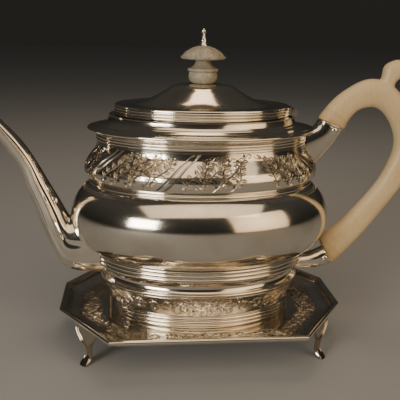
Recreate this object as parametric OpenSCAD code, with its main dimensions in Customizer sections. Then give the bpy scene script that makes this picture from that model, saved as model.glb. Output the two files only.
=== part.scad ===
// Oval silver teapot on its own octagonal stand, with a panelled swan-neck spout,
// a hinged domed lid, a turned finial and a carved scroll handle held in two pinned sockets.
// Millimetres. X runs along the pot (spout at -X, handle at +X), Y to the back, Z up.
// The origin lies on the table under the middle of the pot.

/* [Stand] */
// Length of the stand over its rim
stand_length = 172; // [160:1:190]
// Width of the stand over its rim
stand_width = 134; // [120:1:150]
// Length of the straight front and back edges
stand_front_edge = 110; // [90:1:120]
// Length of the straight end edges
stand_end_edge = 41; // [30:1:50]
// Height of the plate that the pot stands on
plate_top = 19.2; // [17:0.2:22]
// Thickness of the plate
plate_gauge = 1.4; // [1:0.1:1.8]
// Height of the rim above the plate
rim_rise = 6.2; // [5:0.2:8]
// How far the sloping wall leans in from the rim to the plate
wall_slope = 10.5; // [8:0.5:13]
// Diameter of the wire round the rim
rim_wire_d = 2.6; // [2:0.1:3.2]
// Half the width of a foot where it meets the rim
foot_knee = 10.5; // [8:0.5:12]
// Half the width of a foot at its ankle
foot_ankle = 2.5; // [2:0.1:3.5]
// Thickness of a foot
foot_gauge = 2; // [1.6:0.1:2.6]

/* [Body] */
// Width of every oval as a share of its length
plan_ratio = 0.73; // [0.68:0.01:0.8]
// Half-length of the foot rim
foot_reach = 56.5; // [54:0.5:60]
// Height of the foot rim
foot_rim_h = 6.6; // [5.5:0.1:8]
// How far the flange on top of the foot stands out past the foot rim
flange_spread = 5.1; // [4:0.1:6]
// Height of the engraved band of the foot
foot_band_h = 15.8; // [14:0.2:18]
// Height of the hollow neck over the foot
foot_neck_h = 7.8; // [6:0.2:9]
// How deep the hollow neck is cut in
foot_neck_depth = 3; // [2:0.1:4]
// How far the reeded girdle stands out past the flange
girdle_step = 2.2; // [1.5:0.1:3]
// Height of the reeded girdle
girdle_h = 7; // [6:0.2:9]
// Half-length of the bulge at its fullest
bulge_reach = 78.9; // [76:0.2:82]
// Radius of the lower half of the bulge
bulge_low_r = 22.6; // [22:0.1:24]
// Radius of the upper half of the bulge
bulge_high_r = 24.2; // [23:0.1:26]
// Height from the fullest line of the bulge up to the waist
bulge_to_waist = 20.8; // [18:0.1:21]
// Height of the waist wire
waist_wire_h = 1.8; // [1.4:0.1:2.4]
// How far the engraved frieze swells out past the neck
frieze_swell = 8.3; // [7:0.1:9.5]
// Half-length of the neck above the frieze
neck_reach = 61.7; // [60:0.2:64]
// Height of the frieze and neck together
frieze_h = 25.5; // [24:0.1:29]
// Height of the moulded rim
rim_h = 5.8; // [5:0.2:7]
// How far the moulded rim stands out past the neck
rim_overhang = 6.3; // [5:0.1:8]
// Height of the hollow shoulder
shoulder_h = 7.2; // [6:0.2:9]
// Width of the flat ledge round the mouth
ledge_width = 7.7; // [7:0.1:8.5]
// Half-length of the mouth
mouth_reach = 47.5; // [46:0.1:48]
// Thickness of the raised silver walls
wall = 1.1; // [0.9:0.1:1.5]

/* [Spout] */
// Distance from the middle of the pot to the lip of the spout
spout_reach = 137.5; // [134:0.5:141]
// Wall of the spout
spout_wall = 0.9; // [0.7:0.1:1.2]
// How far the panel ridges stand proud, as a share of the section
ridge_rise = 0.06; // [0.02:0.01:0.1]
// Height of the spout's lip above the fullest line of the bulge
lip_rise = 69.6; // [66:0.2:73]
// Height of the top of the spout's root over the fullest line of the bulge; under it when negative
root_rise = -0.6; // [-2:0.2:1]
// Gap under the spout's flat heel, over the flange of the foot
heel_gap = 0.4; // [0.3:0.1:1]
// Half the width of the spout's root
root_half_w = 14; // [12:0.5:15]
// Radius of a strainer hole
strainer_r = 1.3; // [1:0.1:1.5]
// Distance between strainer holes
strainer_pitch = 4.6; // [4:0.1:5.5]

/* [Handle] */
// Distance from the middle of the pot to the back of the handle
handle_reach = 137.5; // [134:0.5:141]
// Wall of the handle sockets
socket_wall = 1.1; // [0.9:0.1:1.5]
// Radius of the two pins through the handle
pin_r = 1.1; // [0.8:0.1:1.3]
// Gap round a tenon in its socket
tenon_gap = 0.3; // [0.2:0.05:0.6]

/* [Lid] */
// How far the lid's reeded edge stays inside the ledge
lid_inset = 3.2; // [2.8:0.1:4]
// Height of the lid's reeded edge
lid_edge_h = 4.8; // [4:0.1:6]
// Thickness of the lid's flange and dome
lid_gauge = 1; // [0.8:0.1:1.3]
// Width of the lid's flat flange, out from the foot of the dome
lid_flange = 12; // [10:0.5:14]
// Rise of the dome above the flange
dome_rise = 11.8; // [10:0.2:14]
// Depth of the bezel inside the mouth
bezel_drop = 2.7; // [2:0.1:4]
// Gap between the bezel and the mouth
bezel_gap = 0.6; // [0.5:0.05:0.8]

/* [Finial] */
// Radius of the turned knop
knop_r = 9; // [8:0.1:10]
// Height of the turned knop
knop_h = 13.6; // [12:0.2:15]
// Radius of the button on top of the knop
button_r = 13.3; // [12:0.1:14]
// Height of the button
button_h = 8.2; // [7:0.2:9]
// Height of the silver cap
cap_h = 9.8; // [8:0.2:11]
// Radius of the bolt through the finial
bolt_r = 1.3; // [1:0.1:1.6]
// Width of the square nut under the dome
nut_width = 6; // [5:0.5:7]

/* [Hinge] */
// Radius of the hinge barrel
knuckle_r = 1.75; // [1.7:0.05:1.9]
// Length of the whole hinge
hinge_length = 18; // [16:0.5:20]
// Radius of the hinge pin
hinge_pin_r = 0.8; // [0.6:0.05:0.9]
// Running clearance of the hinge pin
hinge_fit = 0.06; // [0.03:0.01:0.1]
// Side gap between two knuckles
knuckle_gap = 0.2; // [0.15:0.05:0.3]

/* [Hidden] */

silver = "silver";
warm_silver = "lightgray";
ivory = "wheat";
horn = "tan";

oval_fn = 96;
round_fn = 48;
// Thickness of the solder film between pieces that are scribed to each other
solder = 0.35;
// Gap that lets a bolt or pin pass through its hole
pass_gap = 0.05;
// Gap under the lid's edge when the lid is shut
lid_gap = 0.2;

// ---- half-lengths of the ovals ----
flange_reach = foot_reach + flange_spread;
girdle_reach = flange_reach + girdle_step;
frieze_reach = neck_reach + frieze_swell;
rim_reach = neck_reach + rim_overhang;
ledge_reach = mouth_reach + ledge_width;
lid_reach = ledge_reach - lid_inset;
dome_reach = lid_reach - lid_flange;

// ---- heights, from the table up ----
rim_top = plate_top + rim_rise;
foot_top_z = plate_top + foot_rim_h;
flange_top = foot_top_z + foot_band_h;
girdle_bottom = flange_top + foot_neck_h;
bowl_bottom = girdle_bottom + girdle_h;
bowl_base_reach = girdle_reach - 2.2;
bulge_z = bowl_bottom + sqrt(pow(bulge_low_r, 2)
    - pow(bowl_base_reach - bulge_reach + bulge_low_r, 2));
waist_z = bulge_z + bulge_to_waist;
waist_reach = bulge_reach - bulge_high_r + sqrt(pow(bulge_high_r, 2) - pow(bulge_to_waist, 2));
frieze_bottom = waist_z + waist_wire_h;
neck_top = frieze_bottom + frieze_h;
shoulder_bottom = neck_top + rim_h;
ledge_z = shoulder_bottom + shoulder_h;
lid_bottom = ledge_z + lid_gap;
flange_bottom = lid_bottom + lid_edge_h;
flange_z = flange_bottom + lid_gauge;
dome_top = flange_z + dome_rise;
button_z = dome_top + knop_h;
cap_z = button_z + button_h;

// ---- general shaping ----

// One point, or one ring of points, on the smooth curve through four neighbours
function blend_at(a, b, c, d, t) = 0.5 * (2 * b + (c - a) * t
    + (2 * a - 5 * b + 4 * c - d) * t * t + (3 * b - a - 3 * c + d) * t * t * t);

// A smooth run through a list of points or of rings
function smooth(items, steps = 3) = let (last = len(items) - 1) [
    for (i = [0:last - 1]) for (s = [0:steps - 1])
        blend_at(items[max(i - 1, 0)], items[i], items[i + 1], items[min(i + 2, last)], s / steps),
    items[last]];

function reversed(list) = [for (i = [len(list) - 1:-1:0]) list[i]];
function shifted(points, by) = [for (p = points) p + by];
function arc(centre, r, from, to, steps) = [for (i = [0:steps])
    let (a = from + (to - from) * i / steps) centre + r * [cos(a), sin(a)]];

// A solid through rings of equal count: capped at both ends, or closed back on its first ring
module loft(rings, closed = false) {
    n = len(rings[0]);
    m = len(rings);
    spans = closed ? m : m - 1;
    sides = [for (i = [0:spans - 1]) for (j = [0:n - 1])
        let (a = i * n + j, b = i * n + (j + 1) % n,
            c = (i + 1) % m * n + (j + 1) % n, d = (i + 1) % m * n + j)
        each [[a, b, c], [a, c, d]]];
    caps = closed ? [] : [[for (j = [n - 1:-1:0]) j], [for (j = [0:n - 1]) (m - 1) * n + j]];
    polyhedron(points = [for (r = rings) each r], faces = concat(sides, caps), convexity = 6);
}

// A thin-walled tube between two runs of rings
module tube_loft(outer, inner) {
    loft(concat(outer, reversed(inner)), closed = true);
}

// Turns a profile drawn as [half-length, height] round the oval plan, in four quarter turns
module oval_turn() {
    for (quarter = [0:3]) scale([1, plan_ratio, 1])
        rotate([0, 0, 90 * quarter]) rotate_extrude(angle = 90, $fn = oval_fn) children();
}

// A row of half-round reeds standing on a vertical strip
module reeding(reach, back, bottom, height, count) {
    bead = height / (2 * count);
    polygon(concat([[back, bottom]],
        [for (i = [0:count - 1]) each
            arc([reach - bead, bottom + bead * (2 * i + 1)], bead, -80, 80, 6)],
        [[back, bottom + height]]));
}

// ---- stand ----

// The corner cut's outward normal and its distance from the middle
cut_run = [(stand_length - stand_front_edge) / 2, (stand_width - stand_end_edge) / 2];
cut_normal = [cut_run[1], cut_run[0]] / norm(cut_run);
cut_mid = [(stand_length / 2 + stand_front_edge / 2) / 2, (stand_width / 2 + stand_end_edge / 2) / 2];
cut_distance = cut_mid * cut_normal;

// The stand's outline at one height, drawn in evenly from the rim
function octagon(inset, z) = let (
    a = stand_length / 2 - inset,
    b = stand_width / 2 - inset,
    d = cut_distance - inset,
    fx = (d - cut_normal[1] * b) / cut_normal[0],
    ey = (d - cut_normal[0] * a) / cut_normal[1])
    [[a, ey, z], [fx, b, z], [-fx, b, z], [-a, ey, z],
        [-a, -ey, z], [-fx, -b, z], [fx, -b, z], [a, -ey, z]];

// Where a foot's top lies, in from the rim; the tray's flat edge comes down on it
rim_seat = rim_wire_d * 0.95;
rim_under = rim_top - rim_wire_d - 0.1;

module stand_tray() {
    wall_mid = wall_slope * 0.45;
    color(silver) loft([
        octagon(wall_slope + plate_gauge, plate_top - plate_gauge),
        octagon(wall_mid + plate_gauge + 1, plate_top + rim_rise * 0.22 - plate_gauge * 0.6),
        octagon(rim_seat + foot_gauge / 2 + 0.1, rim_under),
        octagon(rim_wire_d + 0.1, rim_under),
        octagon(rim_wire_d + 0.1, rim_top - 0.5),
        octagon(rim_wire_d + 0.9, rim_top - 0.7),
        octagon(wall_mid, plate_top + rim_rise * 0.3),
        octagon(wall_slope - 1.5, plate_top + 0.5),
        octagon(wall_slope, plate_top)]);
}

module stand_rim_wire() {
    r = rim_wire_d / 2;
    // Two reeds, one above and outside the other, run round the edge
    profile = concat(arc([r, 0], r, 250, 90, 6), arc([r * 1.35, r * 0.1], r * 0.62, 80, 0, 3),
        [[rim_wire_d, -r * 0.9]]);
    color(silver) loft([for (p = profile) octagon(p[0], rim_top - r + p[1])], closed = true);
}

// A panel foot: wide at the rim, drawn in at the ankle and turned out at the toe
module stand_foot(side_x, side_y) {
    along = [-cut_normal[1], cut_normal[0]];
    knee_z = rim_under;
    // Each row: height, half-width, distance out from the rim, thickness
    rows = smooth([
        [knee_z, foot_knee, -rim_seat, foot_gauge],
        [knee_z - 3, foot_knee * 0.9, -rim_seat + 0.3, foot_gauge],
        [knee_z - 6.2, foot_knee * 0.66, -rim_seat + 0.5, foot_gauge],
        [knee_z - 10, foot_knee * 0.41, -rim_seat, foot_gauge],
        [8.5, foot_ankle * 1.2, -rim_seat - 1, foot_gauge],
        [4.5, foot_ankle, -rim_seat - 1, foot_gauge + 0.2],
        [1.6, foot_ankle * 1.2, -rim_seat + 1.4, foot_gauge + 0.8],
        [0, foot_ankle * 1.3, -rim_seat + 2.4, foot_gauge + 1]], 2);
    color(silver) mirror([side_x < 0 ? 1 : 0, 0, 0]) mirror([0, side_y < 0 ? 1 : 0, 0])
        loft([for (r = rows) [for (p = [[-1, -0.5], [0, -0.5], [1, -0.5], [1, 0.3], [0.5, 0.5],
            [-0.5, 0.5], [-1, 0.3]])
            let (q = cut_mid + along * (p[0] * r[1]) + cut_normal * (r[2] + p[1] * r[3]))
            [q[0], q[1], r[0]]]]);
}

// ---- body: oval pieces stacked and soldered on flat seams ----

module foot_rim_wire() {
    color(silver) oval_turn()
        reeding(foot_reach, foot_reach - 4, plate_top, foot_rim_h, 3);
}

foot_band_outline = concat(smooth([
    [foot_reach - 1.3, foot_top_z], [foot_reach - 0.6, foot_top_z + 1.5],
    [foot_reach + 0.4, foot_top_z + 5], [foot_reach + 1.9, foot_top_z + 9],
    [flange_reach - 1, flange_top - 2.2]]),
    arc([flange_reach - 1, flange_top - 1], 1, -90, 90, 6));

module foot_band() {
    color(silver) oval_turn() polygon(concat(foot_band_outline,
        reversed(shifted(foot_band_outline, [-wall, 0]))));
}

foot_neck_outline = smooth([
    [flange_reach - 1.6, flange_top], [flange_reach - 3.3, flange_top + 1.2],
    [flange_reach - 1.1 - foot_neck_depth, flange_top + foot_neck_h * 0.45],
    [girdle_reach - 5.3, girdle_bottom - 1.2], [girdle_reach - 3.2, girdle_bottom]], 4);

module foot_neck() {
    color(silver) oval_turn() polygon(concat(foot_neck_outline,
        reversed(shifted(foot_neck_outline, [-wall, 0]))));
}

module bottom_plate() {
    color(warm_silver) oval_turn() translate([0, girdle_bottom])
        square([girdle_reach - 4.6, wall]);
}

module girdle_wire() {
    color(silver) oval_turn()
        reeding(girdle_reach, girdle_reach - 4.3, girdle_bottom, girdle_h, 3);
}

low_centre = [bulge_reach - bulge_low_r, bulge_z];
high_centre = [bulge_reach - bulge_high_r, bulge_z];
low_angle = -acos((bowl_base_reach - low_centre[0]) / bulge_low_r);
high_angle = asin(bulge_to_waist / bulge_high_r);

module bowl() {
    strainer_z = (root_top + heel_z) / 2 + 2;
    outer = concat(arc(low_centre, bulge_low_r, low_angle, 0, 9),
        arc(high_centre, bulge_high_r, high_angle / 8, high_angle, 7));
    inner = concat(arc(low_centre, bulge_low_r - wall, low_angle, 0, 9),
        arc(high_centre, bulge_high_r - wall, high_angle / 8, high_angle, 7));
    // The inner skin is carried on to the flat seams above and below
    color(silver) difference() {
        oval_turn() polygon(concat(outer, [[inner[len(inner) - 1][0], waist_z]],
            reversed(inner), [[inner[0][0], bowl_bottom]]));
        for (row = [-2:2]) for (k = [0:4 - abs(row)])
            translate([-bulge_reach, (k - (4 - abs(row)) / 2) * strainer_pitch,
                strainer_z + row * strainer_pitch * 0.87])
                rotate([0, 90, 0]) cylinder(r = strainer_r, h = 30, $fn = 20);
    }
}

module waist_wire() {
    color(silver) oval_turn()
        reeding(waist_reach + 0.5, waist_reach - 1.6, waist_z, waist_wire_h, 1);
}

frieze_outline = smooth([
    [waist_reach - 0.6, frieze_bottom], [frieze_reach - 0.9, frieze_bottom + 3],
    [frieze_reach, frieze_bottom + 6.3], [frieze_reach - 1.2, frieze_bottom + 9.8],
    [neck_reach + 3, frieze_bottom + 12.4], [neck_reach + 0.4, frieze_bottom + 15],
    [neck_reach - 0.2, frieze_bottom + 19], [neck_reach + 0.3, neck_top]], 3);

module frieze_band() {
    color(silver) oval_turn() polygon(concat(frieze_outline,
        reversed(shifted(frieze_outline, [-wall, 0]))));
}

rim_outline = concat(
    [[neck_reach + 0.8, neck_top]],
    arc([neck_reach + 0.5, neck_top + 0.8], 0.7, -60, 60, 4),
    smooth([[neck_reach + 1.3, neck_top + 2], [neck_reach + 3.2, neck_top + 3],
        [rim_reach - 0.8, neck_top + rim_h - 2.4]], 3),
    arc([rim_reach - 1.1, shoulder_bottom - 1.1], 1.1, -70, 70, 6));

module rim_moulding() {
    color(silver) oval_turn() polygon(concat(rim_outline,
        [[rim_reach - 1.2, shoulder_bottom], [neck_reach - 0.9, shoulder_bottom],
            [neck_reach - 0.9, neck_top]]));
}

shoulder_outline = concat(smooth([
    [rim_reach - 1.4, shoulder_bottom], [rim_reach - 4, shoulder_bottom + 0.9],
    [ledge_reach + 4.5, shoulder_bottom + 2.6], [ledge_reach + 1.6, ledge_z - 2.4],
    [ledge_reach, ledge_z]], 3), [[mouth_reach, ledge_z]]);

module shoulder() {
    color(silver) oval_turn() polygon(concat(shoulder_outline,
        [[mouth_reach, ledge_z - wall], [ledge_reach - 0.4, ledge_z - wall],
            [ledge_reach + 0.6, ledge_z - 3.4], [ledge_reach + 3.6, shoulder_bottom + 1.4],
            [ledge_reach + 5.2, shoulder_bottom]]));
}

module mouth_bezel_seat() {
    color(warm_silver) oval_turn() translate([mouth_reach, ledge_z - wall - 1.6])
        square([2.2, 1.6]);
}

// ---- fittings scribed to the body ----

// Half-length of the body's outside at a height, as a fitting meets it
function body_reach(z) =
    z < bowl_bottom + 0.8 ? girdle_reach
    : z < bulge_z ? low_centre[0] + sqrt(max(0, pow(bulge_low_r, 2) - pow(z - bulge_z, 2)))
    : z < waist_z ? high_centre[0] + sqrt(max(0, pow(bulge_high_r, 2) - pow(z - bulge_z, 2)))
    : z < neck_top ? lookup(z, [for (p = frieze_outline) [p[1], p[0]]])
    : lookup(z, [for (p = rim_outline) [p[1], p[0]]]);

// Distance from the middle to the oval body at a height and a side offset, over the solder film
function seat_x(y, z) = let (reach = body_reach(z) + solder)
    reach * sqrt(1 - pow(y / (plan_ratio * reach), 2));

// A ring between two edge points in the XZ plane; shape holds [share along, share across] pairs
function section(edges, half_w, shape, thin = 0) = let (
    mid = (edges[0] + edges[1]) / 2,
    half = (edges[0] - edges[1]) / 2,
    keep = 1 - thin / norm(half))
    [for (s = shape) let (p = mid + half * (s[0] * keep)) [p[0], s[1] * (half_w - thin), p[1]]];

// The same ring laid on the body's surface; side is -1 at the spout and 1 at the handle
function seat_ring(side, top, bottom, half_w, shape, thin = 0) = let (
    mid = (top + bottom) / 2, half = (top - bottom) / 2 - thin)
    [for (s = shape) let (y = s[1] * (half_w - thin), z = mid + s[0] * half)
        [side * seat_x(y, z), y, z]];

// ---- spout ----

// Half of the spout's section: [angle from the top, share of the radius], ridges included
function spout_half(rise) = [[0, 1], [15, 0.99], [32, 0.985], [48, 0.97], [60, 0.98 + rise],
    [71, 0.97], [82, 0.97], [90, 0.97], [93, 0.97], [98, 0.97], [108, 0.98 + rise], [119, 0.98],
    [132, 0.99], [147, 1], [164, 1], [180, 1]];
function ring_shape(half) = concat([for (p = half) p[1] * [cos(p[0]), sin(p[0])]],
    [for (i = [len(half) - 2:-1:1]) half[i][1] * [cos(half[i][0]), -sin(half[i][0])]]);
// Squares off the lower half of a ring, for the flat heel
function heeled(shape, amount) = [for (s = shape)
    s[0] < 0 ? [-pow(-s[0], 1 - 0.45 * amount), sign(s[1]) * pow(abs(s[1]), 1 - 0.45 * amount)] : s];

lip = [-spout_reach, bulge_z + lip_rise];
root_top = bulge_z + root_rise;
heel_z = flange_top + heel_gap;
// A point beyond the end of the bulge, and over or under its fullest line
function off_bulge(out, up) = [-bulge_reach - out, bulge_z + up];

// Each row: upper edge, lower edge, half-width, ridge share, heel share
spout_rows = [
    [lip + [7, 0], lip + [0, -2.8], 3.5, 0.4, 0],
    [lip + [13, -5.4], lip + [7.3, -11.2], 4, 1, 0],
    [off_bulge(37.7, 56.2), off_bulge(44.3, 50.4), 4.3, 1, 0],
    [off_bulge(27, 44.6), off_bulge(36, 38.5), 4.7, 1, 0],
    [off_bulge(19.4, 32.8), off_bulge(29.4, 28.8), 5.2, 1, 0],
    [off_bulge(13.7, 22.2), off_bulge(26.2, 16.2), 6.3, 1, 0],
    [off_bulge(8.1, 12.1), off_bulge(21.7, 4.7), 7.8, 1, 0],
    [off_bulge(4.1, 4.6), off_bulge(17.3, -8.2), 9.6, 0.9, 0],
    [off_bulge(2.1, 0.8), off_bulge(10.9, -23), 11.8, 0.6, 0.3],
    [off_bulge(1.1, -0.9), [-bulge_reach - 1.7, heel_z + 2.6], 13.4, 0.3, 0.8]];

function spout_rings(thin) = smooth(concat(
    [for (r = spout_rows) section([r[0], r[1]], r[2],
        heeled(ring_shape(spout_half(ridge_rise * r[3])), r[4]), thin)],
    [seat_ring(-1, root_top, heel_z, root_half_w, heeled(ring_shape(spout_half(0)), 1), thin)]), 2);

module spout() {
    color(silver) tube_loft(spout_rings(0), spout_rings(spout_wall));
}

// ---- handle and its sockets ----

handle_shape = [for (i = [0:15]) let (a = i * 22.5, c = cos(a), s = sin(a),
    r = pow(pow(abs(c), 2.4) + pow(abs(s), 2.4), -1 / 2.4)) [r * c, r * s]];

// Points set off from the rim's end, from the back of the handle and from the girdle's end
function off_rim(out, up) = [rim_reach + out, shoulder_bottom + up];
function off_back(inward, up) = [handle_reach - inward, shoulder_bottom + up];
function off_girdle(out, up) = [girdle_reach + out, girdle_bottom + up];

upper_cut = [off_rim(3, 5.2), off_rim(19.2, -1.9)];
lower_cut = [off_girdle(12.5, 11), off_girdle(21.4, -6)];
upper_mouth = [off_rim(3.6, 4.9), off_rim(18.6, -1.6)];
lower_mouth = [off_girdle(15.2, 5.8), off_girdle(21, -5.3)];
upper_half_w = 5.6;
lower_half_w = 5.4;
// Butt gap between the handle and the rim of a socket
butt_gap = 0.1;

// Unit direction that leads out of a socket, square to its mouth
function out_of(mouth, side) = let (d = (mouth[1] - mouth[0]) / norm(mouth[1] - mouth[0]))
    side * [-d[1], d[0]];
upper_out = out_of(upper_mouth, 1);
lower_out = out_of(lower_mouth, 1);

// Each row: outer edge, inner edge, half-width
handle_rows = [
    [upper_cut[0] + upper_out * butt_gap, upper_cut[1] + upper_out * butt_gap, 6.2],
    [off_rim(12.5, 17), off_rim(22.4, 4.7), 6],
    [off_rim(24, 25.3), off_rim(27.5, 10), 6],
    [off_rim(34, 28.9), off_rim(34.9, 11.9), 6.2],
    [off_rim(44.2, 27.1), off_rim(40.6, 10.5), 6.2],
    [off_back(16.5, 20.6), off_back(23.9, 6.1), 6],
    [off_back(5.7, 8.3), off_back(19.5, -1.1), 6],
    [off_back(0, -8.3), off_back(17.3, -9.5), 6.2],
    [off_back(3.9, -25.1), off_back(18.9, -19.7), 6],
    [off_back(15.3, -44.3), off_back(27.1, -36.3), 5.6],
    [off_girdle(40.8, 15.2), off_girdle(28.6, 25.2), 5.8],
    [off_girdle(30.2, 3.2), off_girdle(18, 16.4), 6.2],
    [lower_cut[1] + lower_out * butt_gap, lower_cut[0] + lower_out * butt_gap, 6.4]];

// The thumb spur that curls up from the top of the handle
spur_rows = [
    [off_rim(39.6, 24.2), off_rim(48.5, 21.2), 4.4],
    [off_rim(41, 31.1), off_rim(49, 26.3), 4.8],
    [off_rim(42.2, 36.9), off_rim(52.2, 29.3), 4.9],
    [off_rim(48.6, 40.3), off_rim(55.4, 31.3), 4.4],
    [off_rim(55.6, 39.7), off_rim(58.8, 32.9), 3.4],
    [off_rim(60.2, 36.6), off_rim(60.6, 35.1), 0.8]];

// A tenon that tapers into its socket
module tenon(mouth, half_w, out, inner_end, inner_w) {
    edge = (mouth[1] - mouth[0]) / norm(mouth[1] - mouth[0]) * (socket_wall + tenon_gap);
    start = [mouth[0] + edge + out * (butt_gap + 1), mouth[1] - edge + out * (butt_gap + 1)];
    loft([section(inner_end, inner_w, handle_shape),
        section(start, half_w - socket_wall - tenon_gap, handle_shape)]);
}

upper_pin_at = off_rim(12.1, -1.7);
lower_pin_at = off_girdle(15.8, -0.6);
upper_tenon_end = [off_rim(4.6, -4.2), off_rim(11.8, -7.3)];
lower_tenon_end = [off_girdle(10.5, 0), off_girdle(12.8, -3.8)];

module pin_hole(at, r) {
    translate([at[0], 0, at[1]]) rotate([90, 0, 0]) cylinder(r = r, h = 30, center = true, $fn = 24);
}

module handle() {
    color(ivory) difference() {
        union() {
            loft(smooth([for (r = handle_rows) section([r[0], r[1]], r[2], handle_shape)], 2));
            loft(smooth([for (r = spur_rows) section([r[0], r[1]], r[2], handle_shape)], 2));
            tenon(upper_mouth, upper_half_w, upper_out, upper_tenon_end, 3.4);
            tenon(lower_mouth, lower_half_w, lower_out, lower_tenon_end, 3);
        }
        pin_hole(upper_pin_at, pin_r + pass_gap);
        pin_hole(lower_pin_at, pin_r + pass_gap);
    }
}

// A hollow socket from its mouth to a seat on the body
module socket(mouth, half_w, belly, belly_w, top, bottom, seat_w, pin_at) {
    function rings(thin) = smooth([section(mouth, half_w, handle_shape, thin),
        section(belly, belly_w, handle_shape, thin),
        seat_ring(1, top, bottom, seat_w, handle_shape, thin)], 2);
    color(silver) difference() {
        tube_loft(reversed(rings(0)), reversed(rings(socket_wall)));
        pin_hole(pin_at, pin_r + pass_gap);
    }
}

module upper_socket() {
    socket(upper_mouth, upper_half_w, [off_rim(1.6, 1.7), off_rim(11.4, -12.7)], 5.7,
        shoulder_bottom - 1.1, frieze_bottom + 7.4, 5.6, upper_pin_at);
}

module lower_socket() {
    socket(lower_mouth, lower_half_w, [off_girdle(8.1, 2.5), off_girdle(11.2, -7.8)], 5.6,
        girdle_bottom + 1.2, flange_top + 0.3, 6.4, lower_pin_at);
}

// A pin with two low heads, set across the pot
module handle_pin(at, half_w) {
    color(silver) translate([at[0], 0, at[1]]) rotate([90, 0, 0]) {
        cylinder(r = pin_r, h = 2 * half_w, center = true, $fn = 24);
        for (s = [-1, 1]) translate([0, 0, s * (half_w + 0.3)])
            cylinder(r = pin_r + 0.7, h = 0.6, center = true, $fn = 24);
    }
}

module upper_handle_pin() { handle_pin(upper_pin_at, upper_half_w + 0.3); }
module lower_handle_pin() { handle_pin(lower_pin_at, lower_half_w + 0.4); }

// ---- lid hinge ----

base_strip = 0.6;
hinge_x = lid_reach + knuckle_r + 0.3;
hinge_z = ledge_z + base_strip + knuckle_r + 0.35;
knuckle_pitch = hinge_length / 5;
leaf_back = 2.4;

// Knuckles numbered 0 to 4 along the hinge, with a web that reaches to one side or down
module knuckles(numbers, web_size, web_at) {
    for (i = numbers) translate([hinge_x, -hinge_length / 2 + (i + 0.5) * knuckle_pitch, hinge_z]) {
        rotate([90, 0, 0])
            cylinder(r = knuckle_r, h = knuckle_pitch - knuckle_gap, center = true, $fn = round_fn);
        translate(web_at) cube([web_size[0], knuckle_pitch - knuckle_gap, web_size[1]], center = true);
    }
}

module hinge_bore() {
    translate([hinge_x, 0, hinge_z]) rotate([90, 0, 0])
        cylinder(r = hinge_pin_r + hinge_fit, h = hinge_length + 4, center = true, $fn = round_fn);
}

module body_hinge_leaf() {
    color(silver) difference() {
        union() {
            drop = hinge_z - ledge_z;
            knuckles([0, 2, 4], [2 * knuckle_r, drop], [0, 0, -drop / 2]);
            translate([hinge_x - knuckle_r, -hinge_length / 2 + knuckle_gap / 2, ledge_z])
                cube([2 * knuckle_r, hinge_length - knuckle_gap, base_strip]);
        }
        hinge_bore();
    }
}

module lid_hinge_leaf() {
    reach = leaf_back + knuckle_r + 0.2;
    color(silver) difference() {
        union() {
            knuckles([1, 3], [knuckle_r + 1, 2], [-knuckle_r / 2 - 0.5, 0, 0]);
            translate([hinge_x - reach, -hinge_length / 2, lid_bottom + 0.1])
                cube([leaf_back, hinge_length, lid_edge_h - 0.1]);
        }
        hinge_bore();
    }
}

module hinge_pin() {
    color(warm_silver) translate([hinge_x, 0, hinge_z]) rotate([90, 0, 0])
        cylinder(r = hinge_pin_r, h = hinge_length + 0.4, center = true, $fn = round_fn);
}

// ---- lid ----

module lid_edge_wire() {
    notch = leaf_back + knuckle_r + 0.5;
    color(silver) difference() {
        oval_turn() reeding(lid_reach, lid_reach - 2.4, lid_bottom, lid_edge_h, 3);
        translate([hinge_x - notch, -hinge_length / 2 - 0.3, lid_bottom - 1])
            cube([notch + 5, hinge_length + 0.6, lid_edge_h + 2]);
    }
}

// The dome's ogee, from the flange in to the flat under the knop
dome_seat = knop_r * 0.7 / plan_ratio + 3;
dome_outline = smooth([
    [dome_reach, flange_z], [dome_reach - 3, flange_z + dome_rise * 0.08],
    [dome_reach - 9, flange_z + dome_rise * 0.29], [dome_reach - 17, flange_z + dome_rise * 0.62],
    [dome_reach - 22.5, flange_z + dome_rise * 0.87], [dome_seat, dome_top]], 3);

module lid_cover() {
    color(silver) difference() {
        oval_turn() polygon(concat([[lid_reach - 0.3, flange_bottom], [lid_reach - 0.3, flange_z]],
            dome_outline, [[0, dome_top], [0, dome_top - lid_gauge]],
            reversed(shifted(dome_outline, [-0.6, -lid_gauge]))));
        translate([0, 0, dome_top - 3]) cylinder(r = bolt_r + pass_gap, h = 6, $fn = round_fn);
    }
}

module lid_bezel() {
    reach = mouth_reach - bezel_gap;
    color(silver) oval_turn() translate([reach - wall, ledge_z - bezel_drop])
        square([wall, flange_bottom - ledge_z + bezel_drop]);
}

// ---- finial: turned pieces threaded on one bolt ----

module turned(outline) {
    difference() {
        rotate_extrude($fn = round_fn) polygon(concat([[0, outline[0][1]]], outline,
            [[0, outline[len(outline) - 1][1]]]));
        translate([0, 0, dome_top - 1])
            cylinder(r = bolt_r + pass_gap, h = cap_z - dome_top + 2, $fn = round_fn);
    }
}

module finial_knop() {
    ring_z = dome_top + knop_h * 0.6;
    color(horn) turned(concat(smooth([[knop_r * 0.7, dome_top], [knop_r * 0.86, dome_top + 1.6],
        [knop_r, dome_top + knop_h * 0.32], [knop_r * 0.97, ring_z - 1.4]], 3),
        [[knop_r * 0.9, ring_z - 1]], arc([knop_r * 0.94, ring_z], 0.8, -80, 80, 5),
        [[knop_r * 0.88, ring_z + 1]],
        smooth([[knop_r * 0.84, ring_z + 1.3], [knop_r * 0.7, ring_z + 3],
            [knop_r * 0.52, button_z - 1], [knop_r * 0.52, button_z]], 3)));
}

module finial_button() {
    color(horn) turned(smooth([[knop_r * 0.6, button_z], [button_r - 2.2, button_z + 0.6],
        [button_r, button_z + 1.7], [button_r - 1.8, button_z + 3.4],
        [button_r * 0.62, button_z + 6.2], [button_r * 0.25, cap_z]], 3));
}

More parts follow.
